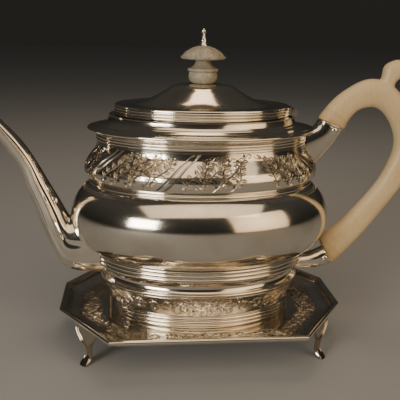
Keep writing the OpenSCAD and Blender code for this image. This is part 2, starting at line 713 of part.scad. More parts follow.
module finial_cap() {
    color(silver) difference() {
        rotate_extrude($fn = round_fn) polygon(concat([[0, cap_z]],
            smooth([[2.9, cap_z], [2.6, cap_z + 0.7], [1.9, cap_z + 2], [1.75, cap_z + 3.2],
                [0.9, cap_z + 5.6], [0.8, cap_h + cap_z - 2.9]], 3),
            arc([0, cap_z + cap_h - 1.5], 1.5, -50, 90, 8)));
        translate([0, 0, cap_z - 1]) cylinder(r = bolt_r + pass_gap, h = 3.4, $fn = round_fn);
    }
}

nut_top = dome_top - lid_gauge;
nut_height = 2.4;

module finial_bolt() {
    foot = nut_top - nut_height - 1;
    color(warm_silver) translate([0, 0, foot])
        cylinder(r = bolt_r, h = cap_z + 2.3 - foot, $fn = round_fn);
}

module finial_nut() {
    color(warm_silver) difference() {
        translate([-nut_width / 2, -nut_width / 2, nut_top - nut_height])
            cube([nut_width, nut_width, nut_height]);
        translate([0, 0, nut_top - nut_height - 1])
            cylinder(r = bolt_r + pass_gap, h = nut_height + 2, $fn = round_fn);
    }
}

stand_tray();
stand_rim_wire();
stand_foot(-1, -1);  // stand_foot_front_left
stand_foot(1, -1);  // stand_foot_front_right
stand_foot(-1, 1);  // stand_foot_back_left
stand_foot(1, 1);  // stand_foot_back_right
foot_rim_wire();
foot_band();
foot_neck();
bottom_plate();
girdle_wire();
bowl();
waist_wire();
frieze_band();
rim_moulding();
shoulder();
mouth_bezel_seat();
spout();
upper_socket();
lower_socket();
handle();
upper_handle_pin();
lower_handle_pin();
body_hinge_leaf();
hinge_pin();
lid_edge_wire();
lid_cover();
lid_bezel();
lid_hinge_leaf();
finial_knop();
finial_button();
finial_cap();
finial_bolt();
finial_nut();
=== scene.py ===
"""Dresses an oval silver teapot, its hinged lid and its footed stand with real forms and finishes.

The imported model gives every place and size.  Each sub-assembly is a class that reads its sizes
from the frame in millimetres, raises or lofts its pieces, and gives each one its finish.
"""

import logging
import math
from dataclasses import dataclass
from enum import Enum
from typing import Callable, Sequence

import bmesh
import bpy
import numpy as np
from mathutils import Matrix, Vector

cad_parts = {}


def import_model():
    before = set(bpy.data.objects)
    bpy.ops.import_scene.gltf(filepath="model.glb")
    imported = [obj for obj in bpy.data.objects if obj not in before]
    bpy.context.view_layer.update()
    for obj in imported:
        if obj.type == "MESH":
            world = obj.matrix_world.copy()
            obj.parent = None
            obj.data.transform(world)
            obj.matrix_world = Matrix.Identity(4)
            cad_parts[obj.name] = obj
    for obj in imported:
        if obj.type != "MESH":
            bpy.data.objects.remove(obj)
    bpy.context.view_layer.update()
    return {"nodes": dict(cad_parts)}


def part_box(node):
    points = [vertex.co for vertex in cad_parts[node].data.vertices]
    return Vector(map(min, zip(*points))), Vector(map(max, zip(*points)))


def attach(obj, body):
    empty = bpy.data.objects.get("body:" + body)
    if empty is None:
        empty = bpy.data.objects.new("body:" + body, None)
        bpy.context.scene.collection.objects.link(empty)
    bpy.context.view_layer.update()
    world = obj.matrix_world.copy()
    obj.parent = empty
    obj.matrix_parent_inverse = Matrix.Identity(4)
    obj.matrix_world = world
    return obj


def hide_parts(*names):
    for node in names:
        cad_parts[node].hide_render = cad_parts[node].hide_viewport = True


MM = 0.001
LOG = logging.getLogger("silver_teapot")
Profile = list[tuple[float, float]]
# The points of a surface in millimetres, and its faces
Skin = tuple[np.ndarray, list]

# Radii of the bowl's section under and over its fullest line
BULGE_LOW_R = 22.6
BULGE_HIGH_R = 24.2
# How far the girdle stands out from the bowl's lower seam
GIRDLE_STEP = 2.2
# How far the frieze swells out from the plain neck over it
NECK_STEP = 8.3


class Body(Enum):
    """The moving bodies of the frame."""

    STAND = "stand"
    TEAPOT = "teapot"
    LID = "lid"


# ---------------------------------------------------------------- shaping


def smooth_run(items: Sequence, steps: int = 3) -> np.ndarray:
    """Runs a smooth curve through points or through rings of points.

    Args:
        items: The points or rings, all of one shape.
        steps: How many spans each gap between two items gets.

    Returns:
        The curve, which passes through every item.
    """
    rows = np.array(items, float)
    last = len(rows) - 1
    out = []
    for i in range(last):
        a, b, c, d = rows[max(i - 1, 0)], rows[i], rows[i + 1], rows[min(i + 2, last)]
        for s in range(steps):
            t = s / steps
            out.append(0.5 * (2 * b + (c - a) * t + (2 * a - 5 * b + 4 * c - d) * t * t
                              + (3 * b - a - 3 * c + d) * t ** 3))
    out.append(rows[last])
    return np.array(out)


def curve(points: Sequence, steps: int) -> Profile:
    """Returns a smooth curve through points as a profile, which others can be joined to."""
    return [(float(r), float(z)) for r, z in smooth_run(points, steps)]


def arc(centre: tuple[float, float], radius: float, start: float, end: float, steps: int) -> Profile:
    """Returns points on an arc, from one angle in degrees to another."""
    return [(centre[0] + radius * math.cos(math.radians(a)), centre[1] + radius * math.sin(math.radians(a)))
            for a in np.linspace(start, end, steps + 1)]


def run_length(line: np.ndarray) -> np.ndarray:
    """Returns the distance along a line at each of its points."""
    return np.concatenate([[0], np.cumsum(np.linalg.norm(np.diff(line, axis=0), axis=1))])


def quads(rings: int, around: int, closed: bool) -> list[tuple[int, ...]]:
    """Returns the faces between a run of rings.

    Args:
        rings: How many rings there are.
        around: How many points each ring has.
        closed: Whether the last ring runs back to the first.
    """
    return [(i * around + j, i * around + (j + 1) % around,
             (i + 1) % rings * around + (j + 1) % around, (i + 1) % rings * around + j)
            for i in range(rings if closed else rings - 1) for j in range(around)]


def loft(rings: np.ndarray, closed: bool = False) -> Skin:
    """Skins a run of rings of equal count.

    Args:
        rings: Array of rings, each an array of points in millimetres.
        closed: Whether the last ring runs back to the first; otherwise both ends are capped.
    """
    count, around, _ = rings.shape
    faces: list = quads(count, around, closed)
    if not closed:
        faces += [tuple(range(around - 1, -1, -1)), tuple(range((count - 1) * around, count * around))]
    return rings.reshape(-1, 3), faces


def reeds(reach: float, back: float, bottom: float, top: float, count: int) -> Profile:
    """Outlines a drawn wire whose face is a row of half-round reeds.

    Args:
        reach: Half-length out to the crowns of the reeds.
        back: Half-length of the wire's flat back.
        bottom: Height of the wire's lower edge.
        top: Height of its upper edge.
        count: Number of reeds.

    Returns:
        The closed outline, from the lower back corner round to the upper one.
    """
    bead = (top - bottom) / (2 * count)
    face: Profile = []
    for i in range(count):
        face += arc((reach - bead, bottom + bead * (2 * i + 1)), bead, -84, 84, 12)
    return [(back, bottom), *face, (back, top)]


def thick(outline: Sequence, gauge: float) -> Profile:
    """Returns a sheet's closed outline: its outer face, and the same face set in by its gauge."""
    outer = [(float(r), float(z)) for r, z in outline]
    return outer + [(r - gauge, z) for r, z in reversed(outer)]


@dataclass(frozen=True)
class OvalPlan:
    """The oval that every raised piece of the pot follows."""

    ratio: float
    around: int = 288

    def angles(self) -> np.ndarray:
        """Returns the plan's angles in radians, from the front round by the handle."""
        return np.linspace(0, 2 * np.pi, self.around, endpoint=False) - np.pi / 2

    def turn(self, outline: Sequence, closed: bool = True) -> Skin:
        """Raises a profile round the plan.

        Args:
            outline: Points [half-length, height] in millimetres.
            closed: Whether the outline runs back to its first point.
        """
        line, t = np.array(outline, float), self.angles()
        r, z = line[:, 0][:, None], line[:, 1][:, None]
        points = np.stack([r * np.cos(t), self.ratio * r * np.sin(t), z + 0 * t], -1)
        return points.reshape(-1, 3), quads(len(line), len(t), closed)


class BandMap:
    """Places a drawing made in flat millimetres on a raised oval band."""

    def __init__(self, plan: OvalPlan, outline: Sequence) -> None:
        """Measures the band.

        Args:
            plan: The oval that the band follows.
            outline: The band's outer face [half-length, height], from its foot up.
        """
        self.plan = plan
        self.line = np.array(outline, float)
        self.along = run_length(self.line)
        self.height = float(self.along[-1])
        reach, around = float(self.line[:, 0].mean()), 2880
        self.t = np.linspace(-np.pi / 2, 1.5 * np.pi, around + 1)
        self.round = run_length(np.stack([reach * np.cos(self.t), plan.ratio * reach * np.sin(self.t)], -1))
        self.length = float(self.round[-1])

    def at(self, up: np.ndarray) -> tuple[np.ndarray, np.ndarray]:
        """Returns the half-lengths and the heights of the metal at distances up the band."""
        return np.interp(up, self.along, self.line[:, 0]), np.interp(up, self.along, self.line[:, 1])

    def place(self, uv: np.ndarray, lift: np.ndarray) -> np.ndarray:
        """Returns the points of the drawing on the band, each lifted off the metal.

        Args:
            uv: Points [distance round from the front, distance up the band].
            lift: Height of each point over the metal.
        """
        t = np.interp(np.mod(uv[:, 0], self.length), self.round, self.t)
        v = np.clip(uv[:, 1], 0, self.height)
        r, z = self.at(v)
        # The metal's slope is taken between two points this far below and above
        step = 0.3
        dr, dz = np.subtract(self.at(v + step), self.at(v - step))
        k = self.plan.ratio
        normal = np.stack([k * np.cos(t) * dz, np.sin(t) * dz, -k * dr], -1)
        normal /= np.linalg.norm(normal, axis=1)[:, None]
        return np.stack([r * np.cos(t), k * r * np.sin(t), z], -1) + normal * lift[:, None]


Cut = tuple[np.ndarray, np.ndarray]


def cut(points: Sequence, width: float, start: float = 0.25, end: float = 0.12) -> Cut:
    """Returns one stroke of the graver, which swells in the middle.

    Args:
        points: Its line in flat millimetres.
        width: Its full width.
        start: Share of the width at its first point.
        end: Share of the width at its last point.
    """
    line = np.array(points, float)
    t = np.linspace(0, 1, len(line))
    return line, width * np.maximum(np.sin(np.pi * t) ** 0.6, np.where(t < 0.5, start, end))


def leaf(base: np.ndarray, heading: float, length: float, curl: float, fine: float = 1.0) -> list[Cut]:
    """Returns the cuts of one leaf: two bowed edges that meet at its tip, and a vein.

    Args:
        base: Where it springs.
        heading: Its first direction in radians.
        length: Its length.
        curl: How far it turns, in radians.
        fine: Share of the full width of cut.
    """
    t = np.linspace(0, 1, 7)
    bend = heading + curl * t
    way = np.stack([np.cos(bend), np.sin(bend)], -1)
    spine = base + np.concatenate([[[0, 0]], np.cumsum(way[1:], axis=0)]) * length / 6
    side = np.stack([-way[:, 1], way[:, 0]], -1) * (0.2 * length * np.sin(np.pi * t))[:, None]
    veins = [cut((spine + side * share)[1:6], 0.2 * fine) for share in (-0.45, 0, 0.45)]
    return [cut(spine + side, 0.42 * fine), cut(spine - side, 0.36 * fine), *veins]


def volute(centre: np.ndarray, radius: float, hand: int, turns: float = 1.3) -> np.ndarray:
    """Returns a spiral that starts at the left of its centre and winds inwards."""
    t = np.linspace(0, 1, 30)
    r, angle = radius * (1 - 0.8 * t ** 0.85), np.pi + hand * 2 * np.pi * turns * t
    return centre + np.stack([r * np.cos(angle), r * np.sin(angle)], -1)


def heading(line: np.ndarray, k: int) -> float:
    """Returns the direction of a line at one of its points, in radians."""
    way = line[min(k + 1, len(line) - 1)] - line[k - 1]
    return math.atan2(way[1], way[0])


def rinceau(start: float, end: float, middle: float, height: float, count: int, seed: int,
            ground: int) -> list[Cut]:
    """Draws a running leaf scroll: a waved stem, a volute in each wave, and leaves all along.

    Args:
        start: Where it starts, in millimetres round the band.
        end: Where it ends.
        middle: Height of its middle line.
        height: Its full height.
        count: How many volutes it has.
        seed: Seed of the small differences that a hand leaves.
        ground: How many short curls fill the ground of each volute.

    Returns:
        Its cuts.
    """
    dice = np.random.default_rng(seed)
    span = (end - start) / count
    u = np.linspace(start, end, count * 12 + 1)
    stem = np.stack([u, middle + height * 0.26 * np.sin((u - start) / span * np.pi)], -1)
    cuts = [cut(stem, 0.5, 0.7, 0.7)]
    for i in range(count):
        side = 1 if i % 2 == 0 else -1
        radius = min(span * 0.44, height * 0.37)
        centre = np.array([start + (i + 0.5) * span, middle - side * height * 0.08])
        spiral = volute(centre, radius, -side)
        cuts.append(cut(spiral, 0.6, 0.6, 0.4))
        for k in range(2, 24, 2):
            size = radius * (0.78 - 0.5 * k / 30) * dice.uniform(0.8, 1.15)
            lean = side * dice.uniform(0.55, 0.9)
            cuts += leaf(spiral[k], heading(spiral, k) + lean, size, -side * 0.9)
        for k in range(3):
            cuts += leaf(spiral[-1], k * 2.1 + i, radius * 0.26, 0.6, 0.8)
    for k in range(2, len(stem) - 2, 3):
        side = 1 if k % 2 else -1
        lean = side * dice.uniform(0.5, 0.9)
        cuts += leaf(stem[k], heading(stem, k) + lean, height * 0.21 * dice.uniform(0.8, 1.2), side * 0.8)
    for _ in range(count * ground):
        at = np.array([dice.uniform(start, end), middle + dice.uniform(-0.5, 0.5) * height])
        turn = dice.uniform(0, 2 * np.pi) + 1.6 * np.linspace(0, 1, 5)
        cuts.append(cut(at + np.stack([np.cos(turn), np.sin(turn)], -1) * height * 0.06, 0.32))
    return cuts


def sprays(start: float, end: float, low: float, high: float, lean: float, fine: float,
           seed: int) -> list[Cut]:
    """Draws slanting leaf sprays side by side: waved stems that curl over, with leaves to both sides.

    Args:
        start: Where the first one springs, in millimetres round the band.
        end: Where the last one may reach.
        low: Height of their feet.
        high: Height of their tips.
        lean: How far a stem leans over its height.
        fine: Share of the full width of cut.
        seed: Seed of the small differences that a hand leaves.

    Returns:
        Their cuts.
    """
    # Distance between two stems, and how far a stem waves to each side
    pitch, wave_mm, joints = 5, 1.5, 14
    dice = np.random.default_rng(seed)
    first, last = start - min(lean, 0), end - max(lean, 0)
    count = max(2, round((last - first) / pitch) + 1)
    t = np.linspace(0, 1, joints + 1)
    side = 1 if lean > 0 else -1
    cuts: list[Cut] = []
    for number, foot in enumerate(np.linspace(first, last, count)):
        wave = (wave_mm if number % 2 else -wave_mm) * np.sin(2 * np.pi * t) * dice.uniform(0.7, 1.3)
        tall = (high - low) * dice.uniform(0.82, 0.95)
        stem = np.stack([foot + lean * t + wave, low + 0.5 + tall * t], -1)
        curl = volute(stem[-1] + [side * 1.5, -0.4], 1.7, -side, 1.1)
        cuts += [cut(stem, 0.6 * fine, 0.3, 0.7), cut(curl, 0.5 * fine, 0.7, 0.4)]
        for k in range(1, joints):
            hand = 1 if k % 2 else -1
            way = heading(stem, k) + hand * dice.uniform(0.45, 0.8)
            size = (2.2 + 2.6 * math.sin(math.pi * k / joints)) * dice.uniform(0.85, 1.15)
            cuts += leaf(stem[k], way, size, hand * dice.uniform(0.5, 1.1), fine)
    return cuts


def ribbon(at: float, low: float, high: float, lean: float, width: float) -> list[Cut]:
    """Returns the cuts of a plain ribbon that crosses a band aslant: two broad edges, two fine lines."""
    t = np.linspace(0, 1, 18)
    line = np.stack([at + lean * (t - 0.5 + 0.05 * np.sin(2 * np.pi * t)), low + (high - low) * t], -1)
    return [cut(line + [width * share, 0], size, 0.8, 0.8)
            for share, size in ((-0.5, 1.0), (-0.25, 0.45), (0.25, 0.45), (0.5, 1.0))]


def border(length: float, height: float, width: float = 0.4) -> Cut:
    """Returns a fine line cut right round a band."""
    u = np.linspace(0, length, 721)
    return np.stack([u, 0 * u + height], -1), 0 * u + width


def wriggle(length: float, height: float, pitch: float, depth: float) -> Cut:
    """Returns a wriggled line: a narrow chisel rocked from corner to corner as it is pushed on."""
    count, width = int(length / pitch) * 2, 0.22
    u = np.linspace(0, length, count + 1)
    return np.stack([u, height + depth / 2 * (-1.0) ** np.arange(count + 1)], -1), 0 * u + width


def sliver_skin(cuts: Sequence[Cut], place: Callable[[np.ndarray, np.ndarray], np.ndarray]) -> Skin:
    """Turns cuts into thin ridged slivers on a surface.

    A real cut is a trough a tenth of a millimetre deep.  A ridge as slight as that throws the
    light off to the side in the same way and leaves the sheet beneath it whole.

    Args:
        cuts: The cuts in flat millimetres.
        place: Puts flat points on the surface at a lift.
    """
    # The edges of a sliver lie under the metal; its ridge rises with the width of the cut
    sunk, least, rise = 0.03, 0.02, 0.3
    flat, lift, faces, low = [], [], [], 0
    for line, width in cuts:
        way = np.gradient(line, axis=0)
        way /= np.linalg.norm(way, axis=1)[:, None] + 1e-9
        side = np.stack([-way[:, 1], way[:, 0]], -1) * width[:, None] / 2
        n = len(line)
        flat += [line - side, line, line + side]
        lift += [np.full(n, -sunk), least + width * rise, np.full(n, -sunk)]
        mid, high = low + n, low + 2 * n
        for i in range(n - 1):
            faces += [(a + i, a + i + 1, b + i + 1, b + i) for a, b in ((low, mid), (mid, high), (high, low))]
        faces += [(low, mid, high), (high + n - 1, mid + n - 1, low + n - 1)]
        low += 3 * n
    return place(np.concatenate(flat), np.concatenate(lift)), faces


# ---------------------------------------------------------------- pieces


def show(name: str, data: bpy.types.ID) -> bpy.types.Object:
    """Puts a new object with its mesh, light or camera into the scene."""
    made = bpy.data.objects.new(name, data)
    bpy.context.scene.collection.objects.link(made)
    return made


def show_mesh(name: str, edit: bmesh.types.BMesh) -> bpy.types.Object:
    """Puts an edited mesh into the scene as a new object, and frees the edit."""
    mesh = bpy.data.meshes.new(name)
    edit.to_mesh(mesh)
    edit.free()
    return show(name, mesh)


def apply_modifiers(piece: bpy.types.Object) -> None:
    """Turns what a piece's modifiers show into its own mesh.

    Args:
        piece: The piece, whose old mesh is deleted.
    """
    graph = bpy.context.evaluated_depsgraph_get()
    made, old = bpy.data.meshes.new_from_object(piece.evaluated_get(graph)), piece.data
    piece.data = made
    piece.modifiers.clear()
    bpy.data.meshes.remove(old)


def cut_away(piece: bpy.types.Object, name: str, edit: bmesh.types.BMesh) -> None:
    """Cuts a shape out of a piece for good.

    Args:
        piece: The piece, whose mesh is changed.
        name: What the cut is called.
        edit: The shape, which is freed.
    """
    tool = show_mesh(name, edit)
    modifier = piece.modifiers.new(name, "BOOLEAN")
    modifier.operation, modifier.solver, modifier.object = "DIFFERENCE", "EXACT", tool
    apply_modifiers(piece)
    bpy.data.objects.remove(tool)


def make_piece(name: str, skin: Skin, finish: "Finish", body: Body, stands_for: Sequence[str] = (),
               crease: float = 32.0) -> bpy.types.Object:
    """Makes one shown piece from a skin and lets it ride on its body.

    Args:
        name: The piece's name.
        skin: Its points in millimetres and its faces.
        finish: What the piece is made of and how its surface was worked.
        body: The body that it moves with.
        stands_for: The CAD nodes that it replaces.
        crease: Faces that meet at more than this angle in degrees stay crisp.

    Returns:
        The new object.
    """
    points, faces = skin
    mesh = bpy.data.meshes.new(name)
    mesh.from_pydata((points * MM).tolist(), [], faces)
    mesh.validate()
    edit = bmesh.new()
    edit.from_mesh(mesh)
    bmesh.ops.recalc_face_normals(edit, faces=edit.faces)
    edit.to_mesh(mesh)
    edit.free()
    mesh.shade_smooth()
    mesh.set_sharp_from_angle(angle=math.radians(crease))
    return settle(show(name, mesh), finish, body, stands_for)


def settle(piece: bpy.types.Object, finish: "Finish", body: Body,
           stands_for: Sequence[str]) -> bpy.types.Object:
    """Gives a piece its finish, its body and the nodes that it stands for, and reports it.

    Args:
        piece: The piece.
        finish: What it is made of.
        body: The body that it moves with.
        stands_for: The CAD nodes that it replaces.

    Returns:
        The same piece.
    """
    piece.data.materials.clear()
    piece.data.materials.append(finish.material())
    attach(piece, body.value)
    if stands_for:
        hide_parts(*stands_for)
    LOG.info("%s: %d vertices, %s", piece.name, len(piece.data.vertices), finish.name)
    return piece


# ---------------------------------------------------------------- finishes


def linear(hex_colour: str) -> tuple[float, float, float, float]:
    """Turns an sRGB hex colour into the linear colour that a shader socket holds."""
    parts = [int(hex_colour.lstrip("#")[i:i + 2], 16) / 255 for i in (0, 2, 4)]
    low = [c / 12.92 if c <= 0.04045 else ((c + 0.055) / 1.055) ** 2.4 for c in parts]
    return low[0], low[1], low[2], 1.0


def add(tree: bpy.types.NodeTree, kind: str, props: dict | None = None, values: dict | None = None,
        links: dict | None = None) -> bpy.types.Node:
    """Adds a shader node with its settings and links.

    Args:
        tree: The node tree.
        kind: The node's type name.
        props: Properties of the node.
        values: Values of its input sockets, by name or number.
        links: Output sockets that feed its inputs, by name or number.

    Returns:
        The new node.
    """
    node = tree.nodes.new(kind)
    for key, value in (props or {}).items():
        setattr(node, key, value)
    for key, value in (values or {}).items():
        node.inputs[key].default_value = value
    for key, socket in (links or {}).items():
        tree.links.new(socket, node.inputs[key])
    return node


@dataclass(frozen=True)
class Finish:
    """What a surface is made of and how it was worked."""

    name: str
    slot: str

    def material(self) -> bpy.types.Material:
        """Returns the finish's material, made once."""
        found = bpy.data.materials.get(self.name)
        if found is not None:
            return found
        made = bpy.data.materials.new(self.name)
        made.use_nodes = True
        tree = made.node_tree
        tree.nodes.clear()
        shader = add(tree, "ShaderNodeBsdfPrincipled")
        add(tree, "ShaderNodeOutputMaterial", links={"Surface": shader.outputs[0]})
        self.dress(tree, shader)
        return made

    def dress(self, tree: bpy.types.NodeTree, shader: bpy.types.Node) -> None:
        """Sets the shader's own sockets and the nodes that feed it.

        Args:
            tree: The material's node tree.
            shader: The shader that its nodes feed.
        """
        raise NotImplementedError


@dataclass(frozen=True)
class Silver(Finish):
    """Sterling silver, raised by hammer, planished and polished, with a thin warm film of age.

    The metal is nearly white and mirror-like; the film and the fine wear of two centuries of
    rubbing give it a cream tone, soft reflections and small shifts of gloss.
    """

    metal: str = "#EEE8DC"
    film: str = "#AE9D82"
    roughness: float = 0.085
    # Distance between the faint flats that planishing leaves, and their depth
    ripple_mm: float = 13.0
    ripple_depth_mm: float = 0.014
    # Distance between rubbing marks, which run round the pot, and how much longer they are than wide;
    # real ones are finer and are drawn coarse enough to show
    rub_mm: float = 0.5
    rub_stretch: float = 5.0
    rub_depth_mm: float = 0.0012
    # Size of the film's patches, and how much of its colour the thickest hold
    patch_mm: float = 28.0
    film_share: float = 0.35

    def dress(self, tree: bpy.types.NodeTree, shader: bpy.types.Node) -> None:
        """Sets a metal with a film in patches, planishing ripples and rubbing marks.

        Args:
            tree: The material's node tree.
            shader: The shader that its nodes feed.
        """
        where = add(tree, "ShaderNodeTexCoord").outputs["Object"]
        patches = add(tree, "ShaderNodeTexNoise", values={"Scale": 1 / (self.patch_mm * MM), "Detail": 4.0,
                      "Roughness": 0.6}, links={"Vector": where})
        film = add(tree, "ShaderNodeMapRange", values={"From Min": 0.42, "From Max": 0.72, "To Min": 0.0,
                   "To Max": self.film_share}, links={"Value": patches.outputs["Fac"]})
        colour = add(tree, "ShaderNodeMix", {"data_type": "RGBA"}, values={6: linear(self.metal),
                     7: linear(self.film)}, links={0: film.outputs[0]})
        tree.links.new(colour.outputs[2], shader.inputs["Base Color"])
        shader.inputs["Metallic"].default_value = 1.0
        stretch = add(tree, "ShaderNodeMapping", values={"Scale": (1.0, 1.0, self.rub_stretch)},
                      links={"Vector": where})
        rub = add(tree, "ShaderNodeTexNoise", values={"Scale": 1 / (self.rub_mm * self.rub_stretch * MM),
                  "Detail": 3.0}, links={"Vector": stretch.outputs[0]})
        gloss = add(tree, "ShaderNodeMapRange", values={"From Min": 0.3, "From Max": 0.75,
                    "To Min": self.roughness * 0.75, "To Max": self.roughness * 1.5},
                    links={"Value": patches.outputs["Fac"]})
        worn = add(tree, "ShaderNodeMath", {"operation": "MULTIPLY_ADD"}, values={1: 0.05},
                   links={0: rub.outputs["Fac"], 2: gloss.outputs[0]})
        tree.links.new(worn.outputs[0], shader.inputs["Roughness"])
        ripple = add(tree, "ShaderNodeTexNoise", values={"Scale": 1 / (self.ripple_mm * MM), "Detail": 1.0},
                     links={"Vector": where})
        raised = add(tree, "ShaderNodeBump", values={"Strength": 1.0, "Distance": self.ripple_depth_mm * MM},
                     links={"Height": ripple.outputs["Fac"]})
        rubbed = add(tree, "ShaderNodeBump", values={"Strength": 1.0, "Distance": self.rub_depth_mm * MM},
                     links={"Height": rub.outputs["Fac"], "Normal": raised.outputs[0]})
        tree.links.new(rubbed.outputs[0], shader.inputs["Normal"])


@dataclass(frozen=True)
class Ivory(Finish):
    """Old ivory, sawn, rasped, scraped and hand-rubbed to a soft sheen.

    It is cream, yellowed in clouds and drawn darker towards its ends and over its broad faces, with long fine
    grain lines.
    """

    pale: str = "#E0CCA4"
    deep: str = "#A8854F"
    grain: str = "#9C7F52"
    roughness: float = 0.4
    # Distance between grain lines; real ones lie about 0.3 mm apart and are drawn coarser to show
    grain_mm: float = 0.5
    grain_depth_mm: float = 0.012
    # Size of the clouds in which it has yellowed
    cloud_mm: float = 22.0

    def dress(self, tree: bpy.types.NodeTree, shader: bpy.types.Node) -> None:
        """Sets a body yellowed in clouds and darker where the mesh's age mark says, with grain lines along
        the piece and a faint glow under the skin.

        Args:
            tree: The material's node tree.
            shader: The shader that its nodes feed.
        """
        where = add(tree, "ShaderNodeTexCoord").outputs["Object"]
        turned = add(tree, "ShaderNodeMapping", values={"Rotation": (0.0, math.radians(24), 0.0),
                     "Scale": (1.0, 1.0, 0.12)}, links={"Vector": where})
        lines = add(tree, "ShaderNodeTexNoise", values={"Scale": 1 / (self.grain_mm * 2 * MM), "Detail": 5.0,
                    "Roughness": 0.65}, links={"Vector": turned.outputs[0]})
        clouds = add(tree, "ShaderNodeTexNoise", values={"Scale": 1 / (self.cloud_mm * MM), "Detail": 3.0},
                     links={"Vector": where})
        # The mesh's age mark only draws the ivory darker towards its ends and over its broad faces
        age = add(tree, "ShaderNodeAttribute", {"attribute_name": "age"})
        old = add(tree, "ShaderNodeMath", {"operation": "MULTIPLY_ADD", "use_clamp": True}, values={1: 0.45},
                  links={0: clouds.outputs["Fac"], 2: age.outputs["Fac"]})
        body = add(tree, "ShaderNodeMix", {"data_type": "RGBA"}, values={6: linear(self.pale),
                   7: linear(self.deep)}, links={0: old.outputs[0]})
        seen = add(tree, "ShaderNodeMapRange", values={"From Min": 0.5, "From Max": 0.72, "To Min": 0.0,
                   "To Max": 0.24}, links={"Value": lines.outputs["Fac"]})
        colour = add(tree, "ShaderNodeMix", {"data_type": "RGBA"}, values={7: linear(self.grain)},
                     links={0: seen.outputs[0], 6: body.outputs[2]})
        tree.links.new(colour.outputs[2], shader.inputs["Base Color"])
        gloss = add(tree, "ShaderNodeMapRange", values={"To Min": self.roughness - 0.08,
                    "To Max": self.roughness + 0.12}, links={"Value": lines.outputs["Fac"]})
        tree.links.new(gloss.outputs[0], shader.inputs["Roughness"])
        shader.inputs["IOR"].default_value = 1.54
        shader.inputs["Subsurface Weight"].default_value = 0.12
        shader.inputs["Subsurface Radius"].default_value = (1.0, 0.6, 0.35)
        shader.inputs["Subsurface Scale"].default_value = 1.2 * MM
        bump = add(tree, "ShaderNodeBump", values={"Strength": 1.0, "Distance": self.grain_depth_mm * MM},
                   links={"Height": lines.outputs["Fac"]})
        tree.links.new(bump.outputs[0], shader.inputs["Normal"])


@dataclass(frozen=True)
class TurnedHorn(Finish):
    """Bleached horn turned on a lathe: greyish tan, with streaks that fan out from the middle."""

    pale: str = "#C0B8A6"
    dark: str = "#5B5447"
    roughness: float = 0.4
    # Streaks per radian round the axis, size of the mottle, distance between turning marks
    streaks: float = 16.0
    mottle_mm: float = 5.0
    ring_mm: float = 1.6
    ring_depth_mm: float = 0.02
    streak_depth_mm: float = 0.03

    def dress(self, tree: bpy.types.NodeTree, shader: bpy.types.Node) -> None:
        """Sets radial streaks over a mottled ground, with fine turning marks.

        Args:
            tree: The material's node tree.
            shader: The shader that its nodes feed.
        """
        where = add(tree, "ShaderNodeTexCoord").outputs["Object"]
        flat = add(tree, "ShaderNodeVectorMath", {"operation": "MULTIPLY"}, values={1: (1.0, 1.0, 0.0)},
                   links={0: where})
        way = add(tree, "ShaderNodeVectorMath", {"operation": "NORMALIZE"}, links={0: flat.outputs[0]})
        height = add(tree, "ShaderNodeVectorMath", {"operation": "MULTIPLY_ADD"},
                     values={1: (12.0, 12.0, 25.0)}, links={0: where, 2: way.outputs[0]})
        fan = add(tree, "ShaderNodeTexNoise", values={"Scale": self.streaks, "Detail": 5.0, "Roughness": 0.7},
                  links={"Vector": height.outputs[0]})
        mottle = add(tree, "ShaderNodeTexNoise", values={"Scale": 1 / (self.mottle_mm * MM), "Detail": 4.0},
                     links={"Vector": where})
        both = add(tree, "ShaderNodeMath", {"operation": "MULTIPLY_ADD"}, values={1: 0.35},
                   links={0: mottle.outputs["Fac"], 2: fan.outputs["Fac"]})
        share = add(tree, "ShaderNodeMapRange", values={"From Min": 0.48, "From Max": 0.98},
                    links={"Value": both.outputs[0]})
        colour = add(tree, "ShaderNodeMix", {"data_type": "RGBA"}, values={6: linear(self.pale),
                     7: linear(self.dark)}, links={0: share.outputs[0]})
        tree.links.new(colour.outputs[2], shader.inputs["Base Color"])
        gloss = add(tree, "ShaderNodeMapRange", values={"To Min": self.roughness - 0.08,
                    "To Max": self.roughness + 0.15}, links={"Value": mottle.outputs["Fac"]})
        tree.links.new(gloss.outputs[0], shader.inputs["Roughness"])
        shader.inputs["IOR"].default_value = 1.54
        rings = add(tree, "ShaderNodeTexWave", {"wave_type": "BANDS", "bands_direction": "Z"},
                    values={"Scale": 1 / (self.ring_mm * MM), "Distortion": 1.5}, links={"Vector": where})
        bump = add(tree, "ShaderNodeBump", values={"Strength": 1.0, "Distance": self.ring_depth_mm * MM},
                   links={"Height": rings.outputs["Fac"]})
        carved = add(tree, "ShaderNodeBump", values={"Strength": 1.0, "Distance": self.streak_depth_mm * MM},
                     links={"Height": fan.outputs["Fac"], "Normal": bump.outputs[0]})
        tree.links.new(carved.outputs[0], shader.inputs["Normal"])


